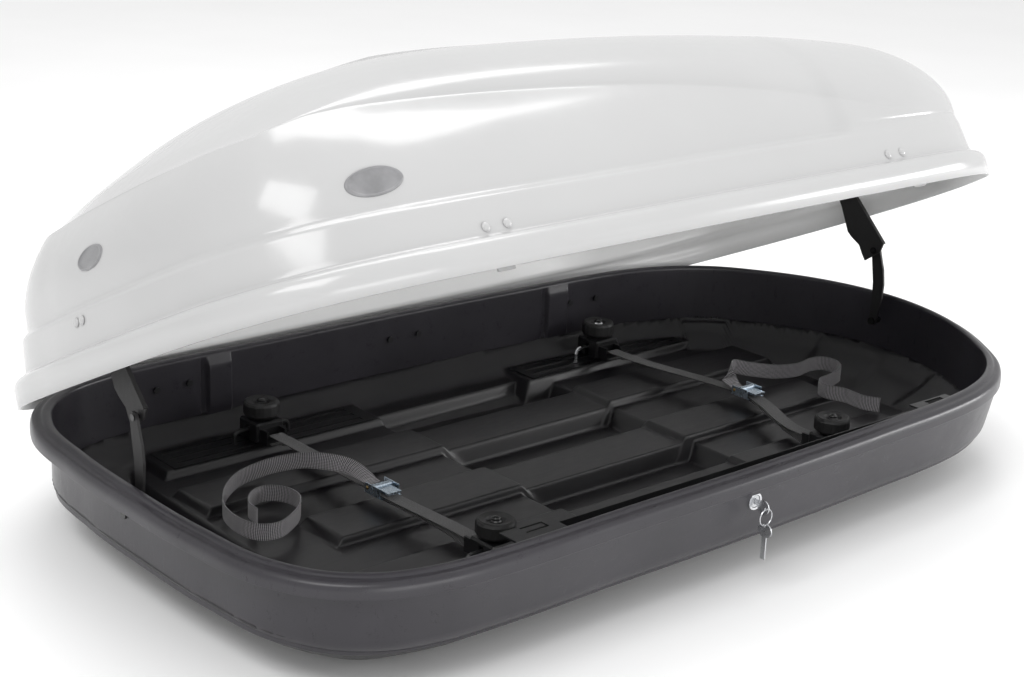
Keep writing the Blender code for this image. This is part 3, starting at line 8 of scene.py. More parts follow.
import bmesh
import bpy
import numpy as np
from mathutils import Matrix, Vector
from mathutils.bvhtree import BVHTree


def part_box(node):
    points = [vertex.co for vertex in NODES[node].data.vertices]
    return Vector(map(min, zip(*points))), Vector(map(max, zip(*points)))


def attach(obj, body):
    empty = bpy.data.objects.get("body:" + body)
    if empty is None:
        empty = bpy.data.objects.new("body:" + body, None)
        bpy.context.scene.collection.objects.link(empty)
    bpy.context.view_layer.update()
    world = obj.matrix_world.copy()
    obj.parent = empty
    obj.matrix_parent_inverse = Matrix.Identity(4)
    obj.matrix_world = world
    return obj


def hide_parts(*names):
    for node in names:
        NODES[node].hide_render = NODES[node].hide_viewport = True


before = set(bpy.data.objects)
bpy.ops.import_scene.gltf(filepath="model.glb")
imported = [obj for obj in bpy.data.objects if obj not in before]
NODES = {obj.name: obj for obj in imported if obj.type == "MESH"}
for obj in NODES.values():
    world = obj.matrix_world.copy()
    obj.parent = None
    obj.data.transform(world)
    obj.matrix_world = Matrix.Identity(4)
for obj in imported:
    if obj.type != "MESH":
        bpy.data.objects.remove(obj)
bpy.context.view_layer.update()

# ---------------------------------------------------------------- driving dimensions (m)
HALF_PLAN = ((-0.764, 0.0), (-0.760, 0.150), (-0.741, 0.280), (-0.710, 0.338),
             (-0.655, 0.382), (-0.585, 0.403), (-0.500, 0.409), (-0.430, 0.4098),
             (-0.300, 0.407), (-0.065, 0.406),
             (0.100, 0.402), (0.265, 0.395), (0.375, 0.390), (0.430, 0.385),
             (0.485, 0.376), (0.573, 0.344), (0.635, 0.299), (0.677, 0.247),
             (0.731, 0.154), (0.757, 0.070), (0.764, 0.0))
RIM_EDGE = (0.032, 0.016, 0.030, 0.030)       # rim overhang: nose, tail, near, far
SKIRT_OUT = (0.0450, 0.0230, 0.0370, 0.0370)  # lid hem offset: nose, tail, near, far
SHEET = 0.004
LID_SHEET = 0.0035
HEM_Z = 0.1385
CREASE_A = 0.182
CREASE_B = 0.239
HINGE_Y = 0.4172
HINGE_Z = 0.1435
OPEN_DEG = 25.85
LOW_FLOOR = 0.004
BAR_FLOOR = 0.030
BAR_PAD = 0.043
MID_PAD = 0.034
ROWS = (0.189, -0.002, -0.189)
ROW_HALF = 0.044
CLAMPS = {"far_nose": (-0.357, 0.334), "far_tail": (0.362, 0.335),
          "near_nose": (-0.350, -0.230), "near_tail": (0.343, -0.232)}
WEB_W = 0.025
WEB_T = 0.0014
EYE_BAR = 0.0415       # clamp centre to the bar that the strap turns round
EYE_WRAP = 0.0045      # bar centre line to the strap's turn round it
RUN_Z = 0.0628
ROOF_CAMBER = 0.33
FAR_WALL_Y = 0.25      # past this, a rim point is on the far long wall
RIM_COLUMNS = 720
LID_COLUMNS = 480
FLOOR_PITCH = 0.007
CAP_RADIUS = 0.0066


def place(name, data):
    """An object for a mesh, light or camera, linked into the scene."""
    obj = bpy.data.objects.new(name, data)
    bpy.context.scene.collection.objects.link(obj)
    return obj


# ---------------------------------------------------------------- camera
CAMERA_AT = (-1.948, -2.079, 1.182)
CAMERA_YAW = 41.11                # degrees from +Y towards +X
CAMERA_PITCH = 18.46              # degrees below the horizon
CAMERA_ROLL = -2.37
CAMERA_LENS = 68.7                # mm
CAMERA_SENSOR = 36.0              # mm


def make_camera():
    """Camera at the studio viewpoint."""
    yaw, pitch, roll = (math.radians(a) for a in (CAMERA_YAW, CAMERA_PITCH, CAMERA_ROLL))
    level = Vector((math.sin(yaw), math.cos(yaw), 0.0))
    right = Vector((math.cos(yaw), -math.sin(yaw), 0.0))
    ahead = level * math.cos(pitch) - Vector((0.0, 0.0, 1.0)) * math.sin(pitch)
    down = -right.cross(ahead)
    side = right * math.cos(roll) + down * math.sin(roll)
    under = -right * math.sin(roll) + down * math.cos(roll)
    data = bpy.data.cameras.new("camera")
    data.lens = CAMERA_LENS
    data.sensor_width = CAMERA_SENSOR
    data.clip_start, data.clip_end = 0.05, 60.0
    camera = place("camera", data)
    turn = Matrix((side, -under, -ahead)).transposed().to_4x4()
    camera.matrix_world = Matrix.Translation(CAMERA_AT) @ turn
    bpy.context.scene.camera = camera


make_camera()


# ---------------------------------------------------------------- materials
class Graph:
    """Short-hand for building one Principled material."""

    def __init__(self, name, roughness, metallic=0.0, **sockets):
        self.mat = bpy.data.materials.new(name)
        self.mat.use_nodes = True
        self.tree = self.mat.node_tree
        self.shader = self.tree.nodes["Principled BSDF"]
        self.shader.inputs["Roughness"].default_value = roughness
        self.shader.inputs["Metallic"].default_value = metallic
        for key, value in sockets.items():
            self.shader.inputs[key.replace("_", " ")].default_value = value
        self.coords = self.tree.nodes.new("ShaderNodeTexCoord")

    def add(self, kind, **settings):
        node = self.tree.nodes.new(kind)
        for key, value in settings.items():
            setattr(node, key, value)
        return node

    def link(self, out, into):
        self.tree.links.new(out, into)

    def noise(self, scale, detail=3.0, roughness=0.55, stretch=(1.0, 1.0, 1.0)):
        """Noise in the object's own space, with its scale stretched along each axis."""
        mapping = self.add("ShaderNodeMapping")
        mapping.inputs["Scale"].default_value = stretch
        self.link(self.coords.outputs["Object"], mapping.inputs["Vector"])
        tex = self.add("ShaderNodeTexNoise")
        tex.inputs["Scale"].default_value = scale
        tex.inputs["Detail"].default_value = detail
        tex.inputs["Roughness"].default_value = roughness
        self.link(mapping.outputs["Vector"], tex.inputs["Vector"])
        return tex.outputs["Fac"]

    def ramp(self, value, low, high, colours):
        """Colour that runs between two colours as value goes from low to high."""
        ramp = self.add("ShaderNodeValToRGB")
        ramp.color_ramp.elements[0].position = low
        ramp.color_ramp.elements[1].position = high
        for element, colour in zip(ramp.color_ramp.elements, colours):
            element.color = (*colour, 1.0)
        self.link(value, ramp.inputs["Fac"])
        return ramp.outputs["Color"]

    def remap(self, value, low, high, to_low, to_high):
        """Number that runs from to_low to to_high as value goes from low to high."""
        node = self.add("ShaderNodeMapRange")
        for key, number in (("From Min", low), ("From Max", high), ("To Min", to_low),
                            ("To Max", to_high)):
            node.inputs[key].default_value = number
        self.link(value, node.inputs["Value"])
        return node.outputs["Result"]

    def mathop(self, kind, a, b):
        node = self.add("ShaderNodeMath", operation=kind)
        for socket, value in zip(node.inputs, (a, b)):
            if isinstance(value, (int, float)):
                socket.default_value = value
            else:
                self.link(value, socket)
        return node.outputs["Value"]

    def bump(self, height, distance, strength=1.0):
        node = self.add("ShaderNodeBump")
        node.inputs["Strength"].default_value = strength
        node.inputs["Distance"].default_value = distance
        self.link(height, node.inputs["Height"])
        self.link(node.outputs["Normal"], self.shader.inputs["Normal"])


def satin_black(name, colour, roughness, grain, depth):
    """Moulded or thermoformed black plastic with a fine grain and faint scuffs."""
    g = Graph(name, roughness, Specular_IOR_Level=0.5)
    cloud = g.noise(7.0, 4.0)
    lighter = tuple(c * 1.28 + 0.002 for c in colour)
    g.link(g.ramp(cloud, 0.35, 0.68, (colour, lighter)), g.shader.inputs["Base Color"])
    fine = g.noise(grain, 2.0)
    scuff = g.noise(38.0, 5.0, 0.7, (1.0, 3.5, 1.0))
    mixed = g.mathop("ADD", g.mathop("MULTIPLY", fine, 0.5), g.mathop("MULTIPLY", scuff, 0.5))
    g.link(g.remap(mixed, 0.35, 0.65, roughness - 0.05, roughness + 0.07),
           g.shader.inputs["Roughness"])
    g.bump(fine, depth, 0.6)
    return g.mat


def gloss_white(name, shade=(0.455, 0.455, 0.456), coat=0.4):
    """Glossy white ABS with a clear outer layer and the faintest orange peel."""
    g = Graph(name, 0.20, Coat_Weight=coat, Coat_Roughness=0.12)
    cloud = g.noise(3.0, 3.0)
    g.link(g.ramp(cloud, 0.3, 0.7, (shade, tuple(c * 1.04 for c in shade))),
           g.shader.inputs["Base Color"])
    g.link(g.remap(g.noise(55.0, 4.0), 0.35, 0.65, 0.17, 0.25), g.shader.inputs["Roughness"])
    g.bump(g.noise(90.0, 2.0), 0.00008, 0.5)
    return g.mat


def metal(name, colour, roughness, brushed=(1.0, 1.0, 1.0), spread=0.12, scale=420.0):
    """Plated metal with fine working marks."""
    g = Graph(name, roughness, metallic=1.0)
    tone = g.noise(60.0, 4.0)
    darker = tuple(c * 0.78 for c in colour)
    g.link(g.ramp(tone, 0.3, 0.7, (darker, colour)), g.shader.inputs["Base Color"])
    marks = g.noise(scale, 3.0, 0.6, brushed)
    g.link(g.remap(marks, 0.3, 0.7, roughness, roughness + spread),
           g.shader.inputs["Roughness"])
    g.bump(marks, 0.00003, 0.5)
    return g.mat


def coated(name, colour, roughness):
    """Powder-coated steel."""
    g = Graph(name, roughness)
    peel = g.noise(900.0, 2.0)
    cloud = g.noise(30.0, 3.0)
    g.link(g.ramp(cloud, 0.3, 0.7, (colour, tuple(c * 1.5 for c in colour))),
           g.shader.inputs["Base Color"])
    g.link(g.remap(peel, 0.3, 0.7, roughness - 0.04, roughness + 0.08),
           g.shader.inputs["Roughness"])
    g.bump(peel, 0.00005, 0.5)
    return g.mat


RIB_PITCH = 0.0026     # along the webbing
RIB_LEAN = 0.0022      # of a rib, from the middle of the webbing to its edge
YARNS_ACROSS = 11


def webbing(name, colour, lighter):
    """Woven polypropylene webbing: ribs across its width, with chevrons of yarn."""
    g = Graph(name, 0.50, Sheen_Weight=0.35, Sheen_Roughness=0.4)
    split = g.add("ShaderNodeSeparateXYZ")
    g.link(g.coords.outputs["UV"], split.inputs["Vector"])
    u, v = split.outputs["X"], split.outputs["Y"]
    lean = g.mathop("MULTIPLY", g.mathop("ABSOLUTE", g.mathop("SUBTRACT", v, 0.5), 0.0), RIB_LEAN)
    turns = g.mathop("MULTIPLY", g.mathop("ADD", u, lean), 2 * math.pi / RIB_PITCH)
    ribs = g.mathop("SINE", turns, 0.0)
    yarn = g.mathop("SINE", g.mathop("MULTIPLY", v, 2 * math.pi * YARNS_ACROSS), 0.0)
    edge = g.remap(g.mathop("ABSOLUTE", g.mathop("SUBTRACT", v, 0.5), 0.0), 0.40, 0.48, 0.0, 1.0)
    weave = g.mathop("ADD", g.mathop("MULTIPLY", ribs, 0.62), g.mathop("MULTIPLY", yarn, 0.28))
    weave = g.mathop("SUBTRACT", weave, g.mathop("MULTIPLY", edge, 0.25))
    fuzz = g.noise(1400.0, 2.0)
    height = g.mathop("ADD", weave, g.mathop("MULTIPLY", fuzz, 0.3))
    # Base colour follows the weave's height: lighter on the raised yarn, darker in the hollows
    # between ribs and towards the edges, which is painted highlight and painted shade; the fuzz
    # adds random tone.
    g.link(g.ramp(g.remap(height, -0.7, 0.9, 0.0, 1.0), 0.25, 0.85, (colour, lighter)),
           g.shader.inputs["Base Color"])
    g.link(g.remap(weave, -0.8, 0.8, 0.72, 0.42), g.shader.inputs["Roughness"])
    g.bump(height, 0.0004, 0.8)
    return g.mat


TUB = satin_black("tub_abs", (0.0215, 0.0198, 0.0245), 0.31, 1100.0, 0.00006)
LID = gloss_white("lid_abs")
# The lid's inner face is painted lighter than its outer one, though both are the same white ABS:
# painted light that makes up for the shade inside the lid, so that it still looks white.
LID_INNER_PAINTED_LIGHT = gloss_white("lid_inner_abs_painted_light", (0.86, 0.86, 0.855), 0.1)
# The tub's floor gets a much darker black than its walls, though both are the tub's own ABS:
# painted shade inside the tub.
TUB_FLOOR_PAINTED_SHADE = satin_black("tub_floor_abs_painted_shade", (0.0085, 0.0078, 0.0092), 0.33, 1100.0, 0.00006)
MOULDED = satin_black("moulded_black", (0.0060, 0.0060, 0.0068), 0.40, 700.0, 0.00008)
STAY = satin_black("stay_black", (0.0055, 0.0050, 0.0055), 0.56, 600.0, 0.00010)
KNOB = satin_black("knob_black", (0.0100, 0.0098, 0.0102), 0.52, 520.0, 0.00014)
PLATE = coated("plate_coated", (0.0060, 0.0060, 0.0066), 0.30)
BLACK_STEEL = coated("coated_steel", (0.0080, 0.0080, 0.0086), 0.36)
SCREW = coated("screw_black", (0.0060, 0.0060, 0.0062), 0.16)
CHROME = metal("bright_plate", (0.80, 0.81, 0.83), 0.10, spread=0.10)
STEEL = metal("plated_steel", (0.66, 0.67, 0.69), 0.20, (1.0, 8.0, 1.0))
ZINC = metal("zinc_plate", (0.62, 0.72, 0.82), 0.20, (6.0, 1.0, 1.0), 0.16, 160.0)
BRASS = metal("brass_rivet", (0.80, 0.56, 0.24), 0.22)
STRAP = webbing("strap_webbing", (0.0045, 0.0043, 0.0045), (0.070, 0.067, 0.070))
# The free tail is the same webbing as the main strap, given a far lighter colour: painted light on
# the tail that stands on its edge.
TAIL_WEB_PAINTED_LIGHT = webbing("tail_webbing_painted_light", (0.0120, 0.0110, 0.0120), (0.52, 0.50, 0.52))
RIVET_WHITE = gloss_white("rivet_white")
BADGE = coated("badge_grey", (0.18, 0.18, 0.185), 0.34)


def use(obj, mat):
    """Give an object one material."""
    obj.data.materials.clear()
    obj.data.materials.append(mat)


# ---------------------------------------------------------------- mesh helpers
def new_piece(name, verts, faces, mat, body):
    """A smooth mesh object that rides on a body."""
    mesh = bpy.data.meshes.new(name)
    mesh.from_pydata([tuple(v) for v in verts], [], faces)
    mesh.validate()
    mesh.update()
    obj = place(name, mesh)
    use(obj, mat)
    mesh.shade_smooth()
    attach(obj, body)
    return obj


def piece_from_bmesh(name, bm, mat, body, angle):
    """A riding object from a bmesh, smooth except over edges sharper than angle (degrees)."""
    bmesh.ops.recalc_face_normals(bm, faces=bm.faces)
    mesh = bpy.data.meshes.new(name)
    bm.to_mesh(mesh)
    bm.free()
    obj = place(name, mesh)
    use(obj, mat)
    mesh.shade_smooth()
    mesh.set_sharp_from_angle(angle=math.radians(angle))
    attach(obj, body)
    return obj


def bridge_rings(bm, rings):
    """Faces between neighbouring rings; a ring of one vertex is the middle of a fan."""
    for lower, upper in zip(rings, rings[1:]):
        count = max(len(lower), len(upper))
        for k in range(count):
            j = (k + 1) % count
            if len(lower) == 1:
                bm.faces.new((lower[0], upper[k], upper[j]))
            elif len(upper) == 1:
                bm.faces.new((lower[k], upper[0], lower[j]))
            else:
                bm.faces.new((lower[k], upper[k], upper[j], lower[j]))


def modify(obj, kind, **settings):
    """Add one modifier and make it real."""
    modifier = obj.modifiers.new(kind, kind)
    for key, value in settings.items():
        setattr(modifier, key, value)
    graph = bpy.context.evaluated_depsgraph_get()
    mesh = bpy.data.meshes.new_from_object(obj.evaluated_get(graph))
    obj.modifiers.clear()
    obj.data = mesh


def soften(rings, radii, samples=4):
    """Round the corners of stacked rings: each ring with a radius becomes a short curve."""
    made = []
    for k, ring in enumerate(rings):
        radius = radii[k]
        if radius <= 0.0 or k in (0, len(rings) - 1):
            made.append(ring)
            continue
        ends = []
        for other in (rings[k - 1], rings[k + 1]):
            way = other - ring
            length = np.linalg.norm(way, axis=1, keepdims=True) + 1e-9
            ends.append(ring + way * np.minimum(radius / length, 0.48))
        for s in np.linspace(0.0, 1.0, samples):
            made.append(ends[0] * (1 - s) ** 2 + ring * 2 * s * (1 - s) + ends[1] * s**2)
    return made


def grid_faces(rows, columns, wrap=True, flip=False):
    """Quads of a stack of rings."""
    faces = []
    last = columns if wrap else columns - 1
    for r in range(rows - 1):
        for i in range(last):
            j = (i + 1) % columns
            quad = (r * columns + i, r * columns + j, (r + 1) * columns + j,
                    (r + 1) * columns + i)
            faces.append(quad[::-1] if flip else quad)
    return faces


def smooth_table(table, x):
    """Smooth reading of a short table of (x, value) pairs."""
    xs = np.array([p[0] for p in table])
    vs = np.array([p[1] for p in table])
    slopes = np.gradient(vs, xs)
    x = np.clip(x, xs[0], xs[-1])
    i = np.clip(np.searchsorted(xs, x) - 1, 0, len(xs) - 2)
    h = xs[i + 1] - xs[i]
    t = (x - xs[i]) / h
    return ((2 * t**3 - 3 * t**2 + 1) * vs[i] + (t**3 - 2 * t**2 + t) * h * slopes[i]
            + (-2 * t**3 + 3 * t**2) * vs[i + 1] + (t**3 - t**2) * h * slopes[i + 1])


# ---------------------------------------------------------------- outline of the box
def hermite(knots, tangents, spans, u):
    """Point and slope on a cubic through knots with the given spans."""
    i = 0
    while i < len(spans) - 1 and u > spans[i]:
        u -= spans[i]
        i += 1
    t = min(u / spans[i], 1.0)
    a, b = knots[i], knots[i + 1]
    ta, tb = tangents[i] * spans[i], tangents[i + 1] * spans[i]
    point = ((2 * t**3 - 3 * t**2 + 1) * a + (t**3 - 2 * t**2 + t) * ta
             + (-2 * t**3 + 3 * t**2) * b + (t**3 - t**2) * tb)
    slope = ((6 * t**2 - 6 * t) * a + (3 * t**2 - 4 * t + 1) * ta
             + (-6 * t**2 + 6 * t) * b + (3 * t**2 - 2 * t) * tb)
    return point, slope


def outline(columns):
    """Points and outward normals round the rim's inner edge, nose centre first."""
    knots = [Vector(p) for p in HALF_PLAN]
    mirrored = [Vector((knots[1].x, -knots[1].y))] + knots + [Vector((knots[-2].x, -knots[-2].y))]
    tangents = []
    for before, here, after in zip(mirrored, mirrored[1:], mirrored[2:]):
        d0, d1 = (here - before).length, (after - here).length
        tangents.append(((here - before) / d0 * d1 + (after - here) / d1 * d0) / (d0 + d1))
    spans = [(b - a).length for a, b in zip(knots, knots[1:])]
    total = sum(spans)
    fine = 3000
    walk = [hermite(knots, tangents, spans, total * i / fine) for i in range(fine + 1)]
    points = np.array([p for p, _ in walk])
    slopes = np.array([s for _, s in walk])
    steps = np.linalg.norm(np.diff(points, axis=0), axis=1)
    heading = np.unwrap(np.arctan2(slopes[:, 1], slopes[:, 0]))
    weight = np.concatenate([[0.0], np.cumsum(steps + 0.11 * np.abs(np.diff(heading)))])
    goal = np.linspace(0.0, weight[-1], columns // 2 + 1)
    place = np.interp(goal, weight, np.arange(fine + 1))
    px = np.interp(place, np.arange(fine + 1), points[:, 0])
    py = np.interp(place, np.arange(fine + 1), points[:, 1])
    angle = np.interp(place, np.arange(fine + 1), heading)
    normals = np.stack([-np.sin(angle), np.cos(angle)], axis=1)
    normals[0], normals[-1] = (-1.0, 0.0), (1.0, 0.0)
    points = np.stack([px, py], axis=1)
    back = slice(-2, 0, -1)
    flip = np.array([1.0, -1.0])
    return (np.concatenate([points, points[back] * flip]),
            np.concatenate([normals, normals[back] * flip]))


def crowd(points, normals, windows):
    """More points on the far wall where narrow grooves are pressed into it."""
    new_points, new_normals = [], []
    for i in range(len(points)):
        j = (i + 1) % len(points)
        here, there = points[i], points[j]
        close = any(a < here[0] < b or a < there[0] < b for a, b in windows)
        on_far_wall = here[1] > FAR_WALL_Y and there[1] > FAR_WALL_Y
        parts = 8 if on_far_wall and close else 1
        for k in range(parts):
            t = k / parts
            normal = normals[i] * (1 - t) + normals[j] * t
            new_points.append(here * (1 - t) + there * t)
            new_normals.append(normal / np.linalg.norm(normal))
    return np.array(new_points), np.array(new_normals)


GROOVE_WINDOWS = ((-0.425, -0.355), (0.268, 0.346))
RIM, RIM_NORMAL = crowd(*outline(RIM_COLUMNS), GROOVE_WINDOWS)


def half_width(x):
    """Half width of the rim's inner edge at x."""
    upper = RIM[RIM[:, 1] >= 0.0]
    upper = upper[np.argsort(upper[:, 0])]
    return float(np.interp(x, upper[:, 0], upper[:, 1]))


def end_x(end, y):
    """X of the rim's inner edge on an end wall, y off the centre line."""
    half = RIM[(RIM[:, 1] >= 0.0) & ((RIM[:, 0] < 0.0) == (end == "nose"))]
    half = half[np.argsort(half[:, 1])]
    return float(np.interp(abs(y), half[:, 1], half[:, 0]))


def mix(values, normals):
    """Blend nose, tail, near and far values by the way the outline faces."""
    nose, tail, near, far = values
    side = np.where(normals[:, 1] > 0, far, near)
    end = np.where(normals[:, 0] > 0, tail, nose)
    return side * normals[:, 1] ** 2 + end * normals[:, 0] ** 2


def ring_at(offset, height):
    """Rim outline moved outwards and up; each is a number or (nose, tail, near, far)."""
    off, z = (mix(value, RIM_NORMAL) if isinstance(value, tuple) else value * np.ones(len(RIM))
              for value in (offset, height))
    return np.column_stack([RIM + RIM_NORMAL * off[:, None], z])


# ---------------------------------------------------------------- tub
def smooth_max(a, b, k):
    """Larger of two heights, with a fillet of about k where they meet."""
    h = np.clip(0.5 + 0.5 * (a - b) / k, 0.0, 1.0)
    return b * (1 - h) + a * h + k * h * (1 - h)


def raised_blocks():
    """Raised floor blocks as (x0, x1, y0, y1, top, run_x, run_y)."""
    wide = 0.60
    blocks = []
    for x0, x1 in ((-0.585, -0.146), (0.222, 0.628)):
        blocks.append((x0, x1, -wide, wide, BAR_FLOOR, 0.70, 0.35))
    for x0, x1 in ((-0.548, -0.150), (0.170, 0.560)):
        blocks.append((x0, x1, 0.298, wide, BAR_PAD, 0.50, 0.35))
    for x0, x1 in ((-0.540, -0.152), (0.205, 0.560)):
        blocks.append((x0, x1, -0.288, -0.146, BAR_PAD, 0.50, 0.35))
    for pads, row in ((((-0.568, -0.140), (0.218, 0.612)), 0),
                      (((-0.473, -0.142), (0.205, 0.572)), 1)):
        for x0, x1 in pads:
            blocks.append((x0, x1, ROWS[row] - ROW_HALF, ROWS[row] + ROW_HALF,
                           BAR_PAD, 0.80, 0.35))
    for row in range(3):
        blocks.append((-0.170, 0.240, ROWS[row] - ROW_HALF - 0.002,
                       ROWS[row] + ROW_HALF - 0.002, MID_PAD, 0.30, 0.35))
    blocks.append((-0.170, 0.200, 0.326, wide, MID_PAD, 0.30, 0.35))
    blocks.append((-0.170, 0.230, -wide, -0.326, MID_PAD, 0.30, 0.35))
    return blocks


def inside_distance(x, y):
    """Distance inside the rim's inner edge, and the outward direction of the nearest point."""
    distance = np.empty(len(x))
    nearest = np.empty(len(x), int)
    for low in range(0, len(x), 4000):
        part = slice(low, low + 4000)
        dx = x[part, None] - RIM[None, :, 0]
        dy = y[part, None] - RIM[None, :, 1]
        nearest[part] = np.argmin(dx * dx + dy * dy, axis=1)
        n = nearest[part]
        distance[part] = -((x[part] - RIM[n, 0]) * RIM_NORMAL[n, 0]
                           + (y[part] - RIM[n, 1]) * RIM_NORMAL[n, 1])
    return distance, nearest


def floor_height(x, y, d, nearest):
    """Height of the floor's upper face."""
    slope = np.interp(d, (-0.01, 0.0010, 0.0040, 0.026, 0.085, 0.101, 0.12),
                      (0.080, 0.0745, 0.0680, 0.047, 0.0135, 0.0062, LOW_FLOOR))
    facing = RIM_NORMAL[nearest]
    heading = np.arctan2(facing[:, 1], facing[:, 0])
    tail = np.clip((facing[:, 0] - 0.30) / 0.1, 0.0, 1.0)
    wave = np.clip(np.sin(heading * 9.0) * 6.0, -1.0, 1.0)
    bench = tail * (wave * 0.5 + 0.5) * np.clip(d / 0.012, 0, 1) * np.clip((0.085 - d) / 0.01, 0, 1)
    z = slope + 0.0075 * bench
    z = smooth_max(z, np.full_like(z, LOW_FLOOR), 0.004)
    for x0, x1, y0, y1, top, run_x, run_y in raised_blocks():
        out_x = np.maximum(x0 - x, x - x1) / run_x
        out_y = np.maximum(y0 - y, y - y1) / run_y
        drop = smooth_max(smooth_max(out_x, out_y, 0.004), np.zeros_like(x), 0.0045)
        z = smooth_max(z, top + 0.001 - drop, 0.0035)
    return z


def stations(low, high, edges, coarse, fine=0.0016, reach=0.0128):
    """Grid lines from low to high, crowded round each edge."""
    values = set(np.round(np.arange(low, high + coarse / 2, coarse), 5))
    for edge in edges:
        for value in np.arange(edge - reach, edge + reach + 1e-6, fine):
            values.add(round(float(value), 5))
    ordered = sorted(v for v in values if low <= v <= high)
    kept = [ordered[0]]
    for value in ordered[1:]:
        if value - kept[-1] > fine * 0.6:
            kept.append(value)
    return np.array(kept)


def make_floor():
    """Floor sheet of the tub with its raised pads, as one thick sheet."""
    blocks = raised_blocks()
    edges_x, edges_y = set(), set()
    for x0, x1, y0, y1, *_ in blocks:
        edges_x.update((x0 - 0.003, x1 + 0.003))
        edges_y.update((y0 - 0.002, y1 + 0.002))
    half_x, half_y = 0.775, 0.420
    xs = stations(-half_x, half_x, edges_x, FLOOR_PITCH)
    ys = stations(-half_y, half_y, [e for e in edges_y if abs(e) < half_y], FLOOR_PITCH)
    gx, gy = (a.ravel() for a in np.meshgrid(xs, ys, indexing="ij"))
    d, nearest = inside_distance(gx, gy)
    keep = d > -0.0060
    pull = np.minimum(d - 0.0002, 0.0)
    gx = gx + RIM_NORMAL[nearest, 0] * pull
    gy = gy + RIM_NORMAL[nearest, 1] * pull
    d = np.maximum(d, 0.0002)
    z = floor_height(gx, gy, d, nearest)
    index = -np.ones(len(gx), int)
    index[keep] = np.arange(keep.sum())
    grid = index.reshape(len(xs), len(ys))
    a, b, c, e = grid[:-1, :-1], grid[1:, :-1], grid[1:, 1:], grid[:-1, 1:]
    whole = (a >= 0) & (b >= 0) & (c >= 0) & (e >= 0)
    faces = np.stack([a[whole], b[whole], c[whole], e[whole]], axis=1)
    verts = np.column_stack([gx, gy, z])[keep]
    # The floor takes the darker black: painted shade inside the tub.
    floor = new_piece("tub_floor", verts, faces.tolist(), TUB_FLOOR_PAINTED_SHADE, "tub")
    modify(floor, "SOLIDIFY", thickness=SHEET, offset=-1.0)
    floor.data.shade_smooth()
    return floor


def wall_relief(points, z):
    """Inward push of the tub's far wall where its pressed panels stand."""
    x = points[:, 0]
    far = points[:, 1] > FAR_WALL_Y

    def band(x0, x1, soft=0.004):
        return np.clip((x - x0) / soft, 0, 1) * np.clip((x1 - x) / soft, 0, 1)

    rise = np.clip((z - 0.070) / 0.012, 0, 1) * np.clip((0.164 - z) / 0.008, 0, 1)
    push = 0.0055 * band(-0.409, -0.364, 0.0025) - 0.0030 * band(-0.421, -0.409, 0.002)
    push = push - 0.0030 * band(0.276, 0.289, 0.002) + 0.0035 * band(0.289, 0.338, 0.003)
    return np.where(far, push * rise, 0.0)


def make_tub():
    """Wall and rim of the tub as one closed shell, with its floor."""
    rings, radii = [], []

    def add(offset, height, radius=0.0):
        rings.append(ring_at(offset, height))
        radii.append(radius)

    nose, tail, near, far = RIM_EDGE

    def less(amount, near_amount):
        return (nose - amount, tail - amount, near - near_amount, far - amount)

    add(-0.0002, 0.0600)
    add(-0.0012, 0.0740)
    for z in np.linspace(0.080, 0.158, 14):
        add(-0.0012 * (0.168 - z) / 0.094, z)
    add(0.0, 0.1700, 0.004)
    for share, z in ((0.12, 0.1725), (0.30, 0.1732), (0.42, 0.1720), (0.50, 0.1700),
                     (0.58, 0.1694), (0.75, 0.1690), (0.92, 0.1655)):
        add(tuple(e * share for e in RIM_EDGE), z, 0.0025)
    add(RIM_EDGE, 0.1590, 0.004)
    add(RIM_EDGE, 0.1480, 0.0006)
    add(less(0.0040, 0.0008), 0.1475, 0.0003)
    add(less(0.0048, 0.0012), (0.1600, 0.1600, 0.1468, 0.1600), 0.001)
    add((0.0036, 0.0036, 0.0284, 0.0036), (0.162, 0.162, 0.146, 0.162), 0.001)
    add((0.0030, 0.0030, 0.0095, 0.0030), (0.070, 0.070, 0.072, 0.070), 0.010)
    add((-0.0100, -0.0100, -0.0080, -0.0100), 0.0555)
    add(-0.0060, 0.0600)
    stack = soften(rings, radii)
    wall_top, wall_draft = 0.166, 0.0016
    for ring in stack:
        below_rim = (ring[:, 2] < wall_top).all()
        if below_rim and np.mean(np.linalg.norm(ring[:, :2] - RIM, axis=1)) < wall_draft:
            push = wall_relief(ring[:, :2], ring[:, 2])
            ring[:, :2] -= RIM_NORMAL * push[:, None]
    verts = np.concatenate(stack)
    faces = grid_faces(len(stack), len(RIM), flip=True)
    shell = new_piece("tub_wall", verts, faces, TUB, "tub")
    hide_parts("tub_shell")
    floor = make_floor()


# ---------------------------------------------------------------- lid
ROOF_LINE = ((-0.720, 0.371), (-0.690, 0.388), (-0.640, 0.415), (-0.568, 0.448),
             (-0.500, 0.467), (-0.430, 0.477), (-0.350, 0.482), (-0.287, 0.483),
             (-0.154, 0.480), (0.065, 0.468), (0.218, 0.454), (0.420, 0.428),
             (0.600, 0.398), (0.700, 0.368), (0.760, 0.343))
CREASE_C = ((-0.720, 0.364), (-0.650, 0.375), (-0.592, 0.378), (-0.441, 0.378),
            (-0.299, 0.373), (-0.008, 0.344), (0.181, 0.310), (0.420, 0.256),
            (0.500, 0.252))


def roof(x, y):
    """Height of the lid's top skin, lid closed."""
    band = 0.006 * np.clip((0.19 - np.abs(y)) / 0.02, 0, 1)
    fade = np.clip((x + 0.46) / 0.08, 0, 1) * np.clip((0.50 - x) / 0.15, 0, 1)
    return smooth_table(ROOF_LINE, x) - ROOF_CAMBER * y * y + band * fade


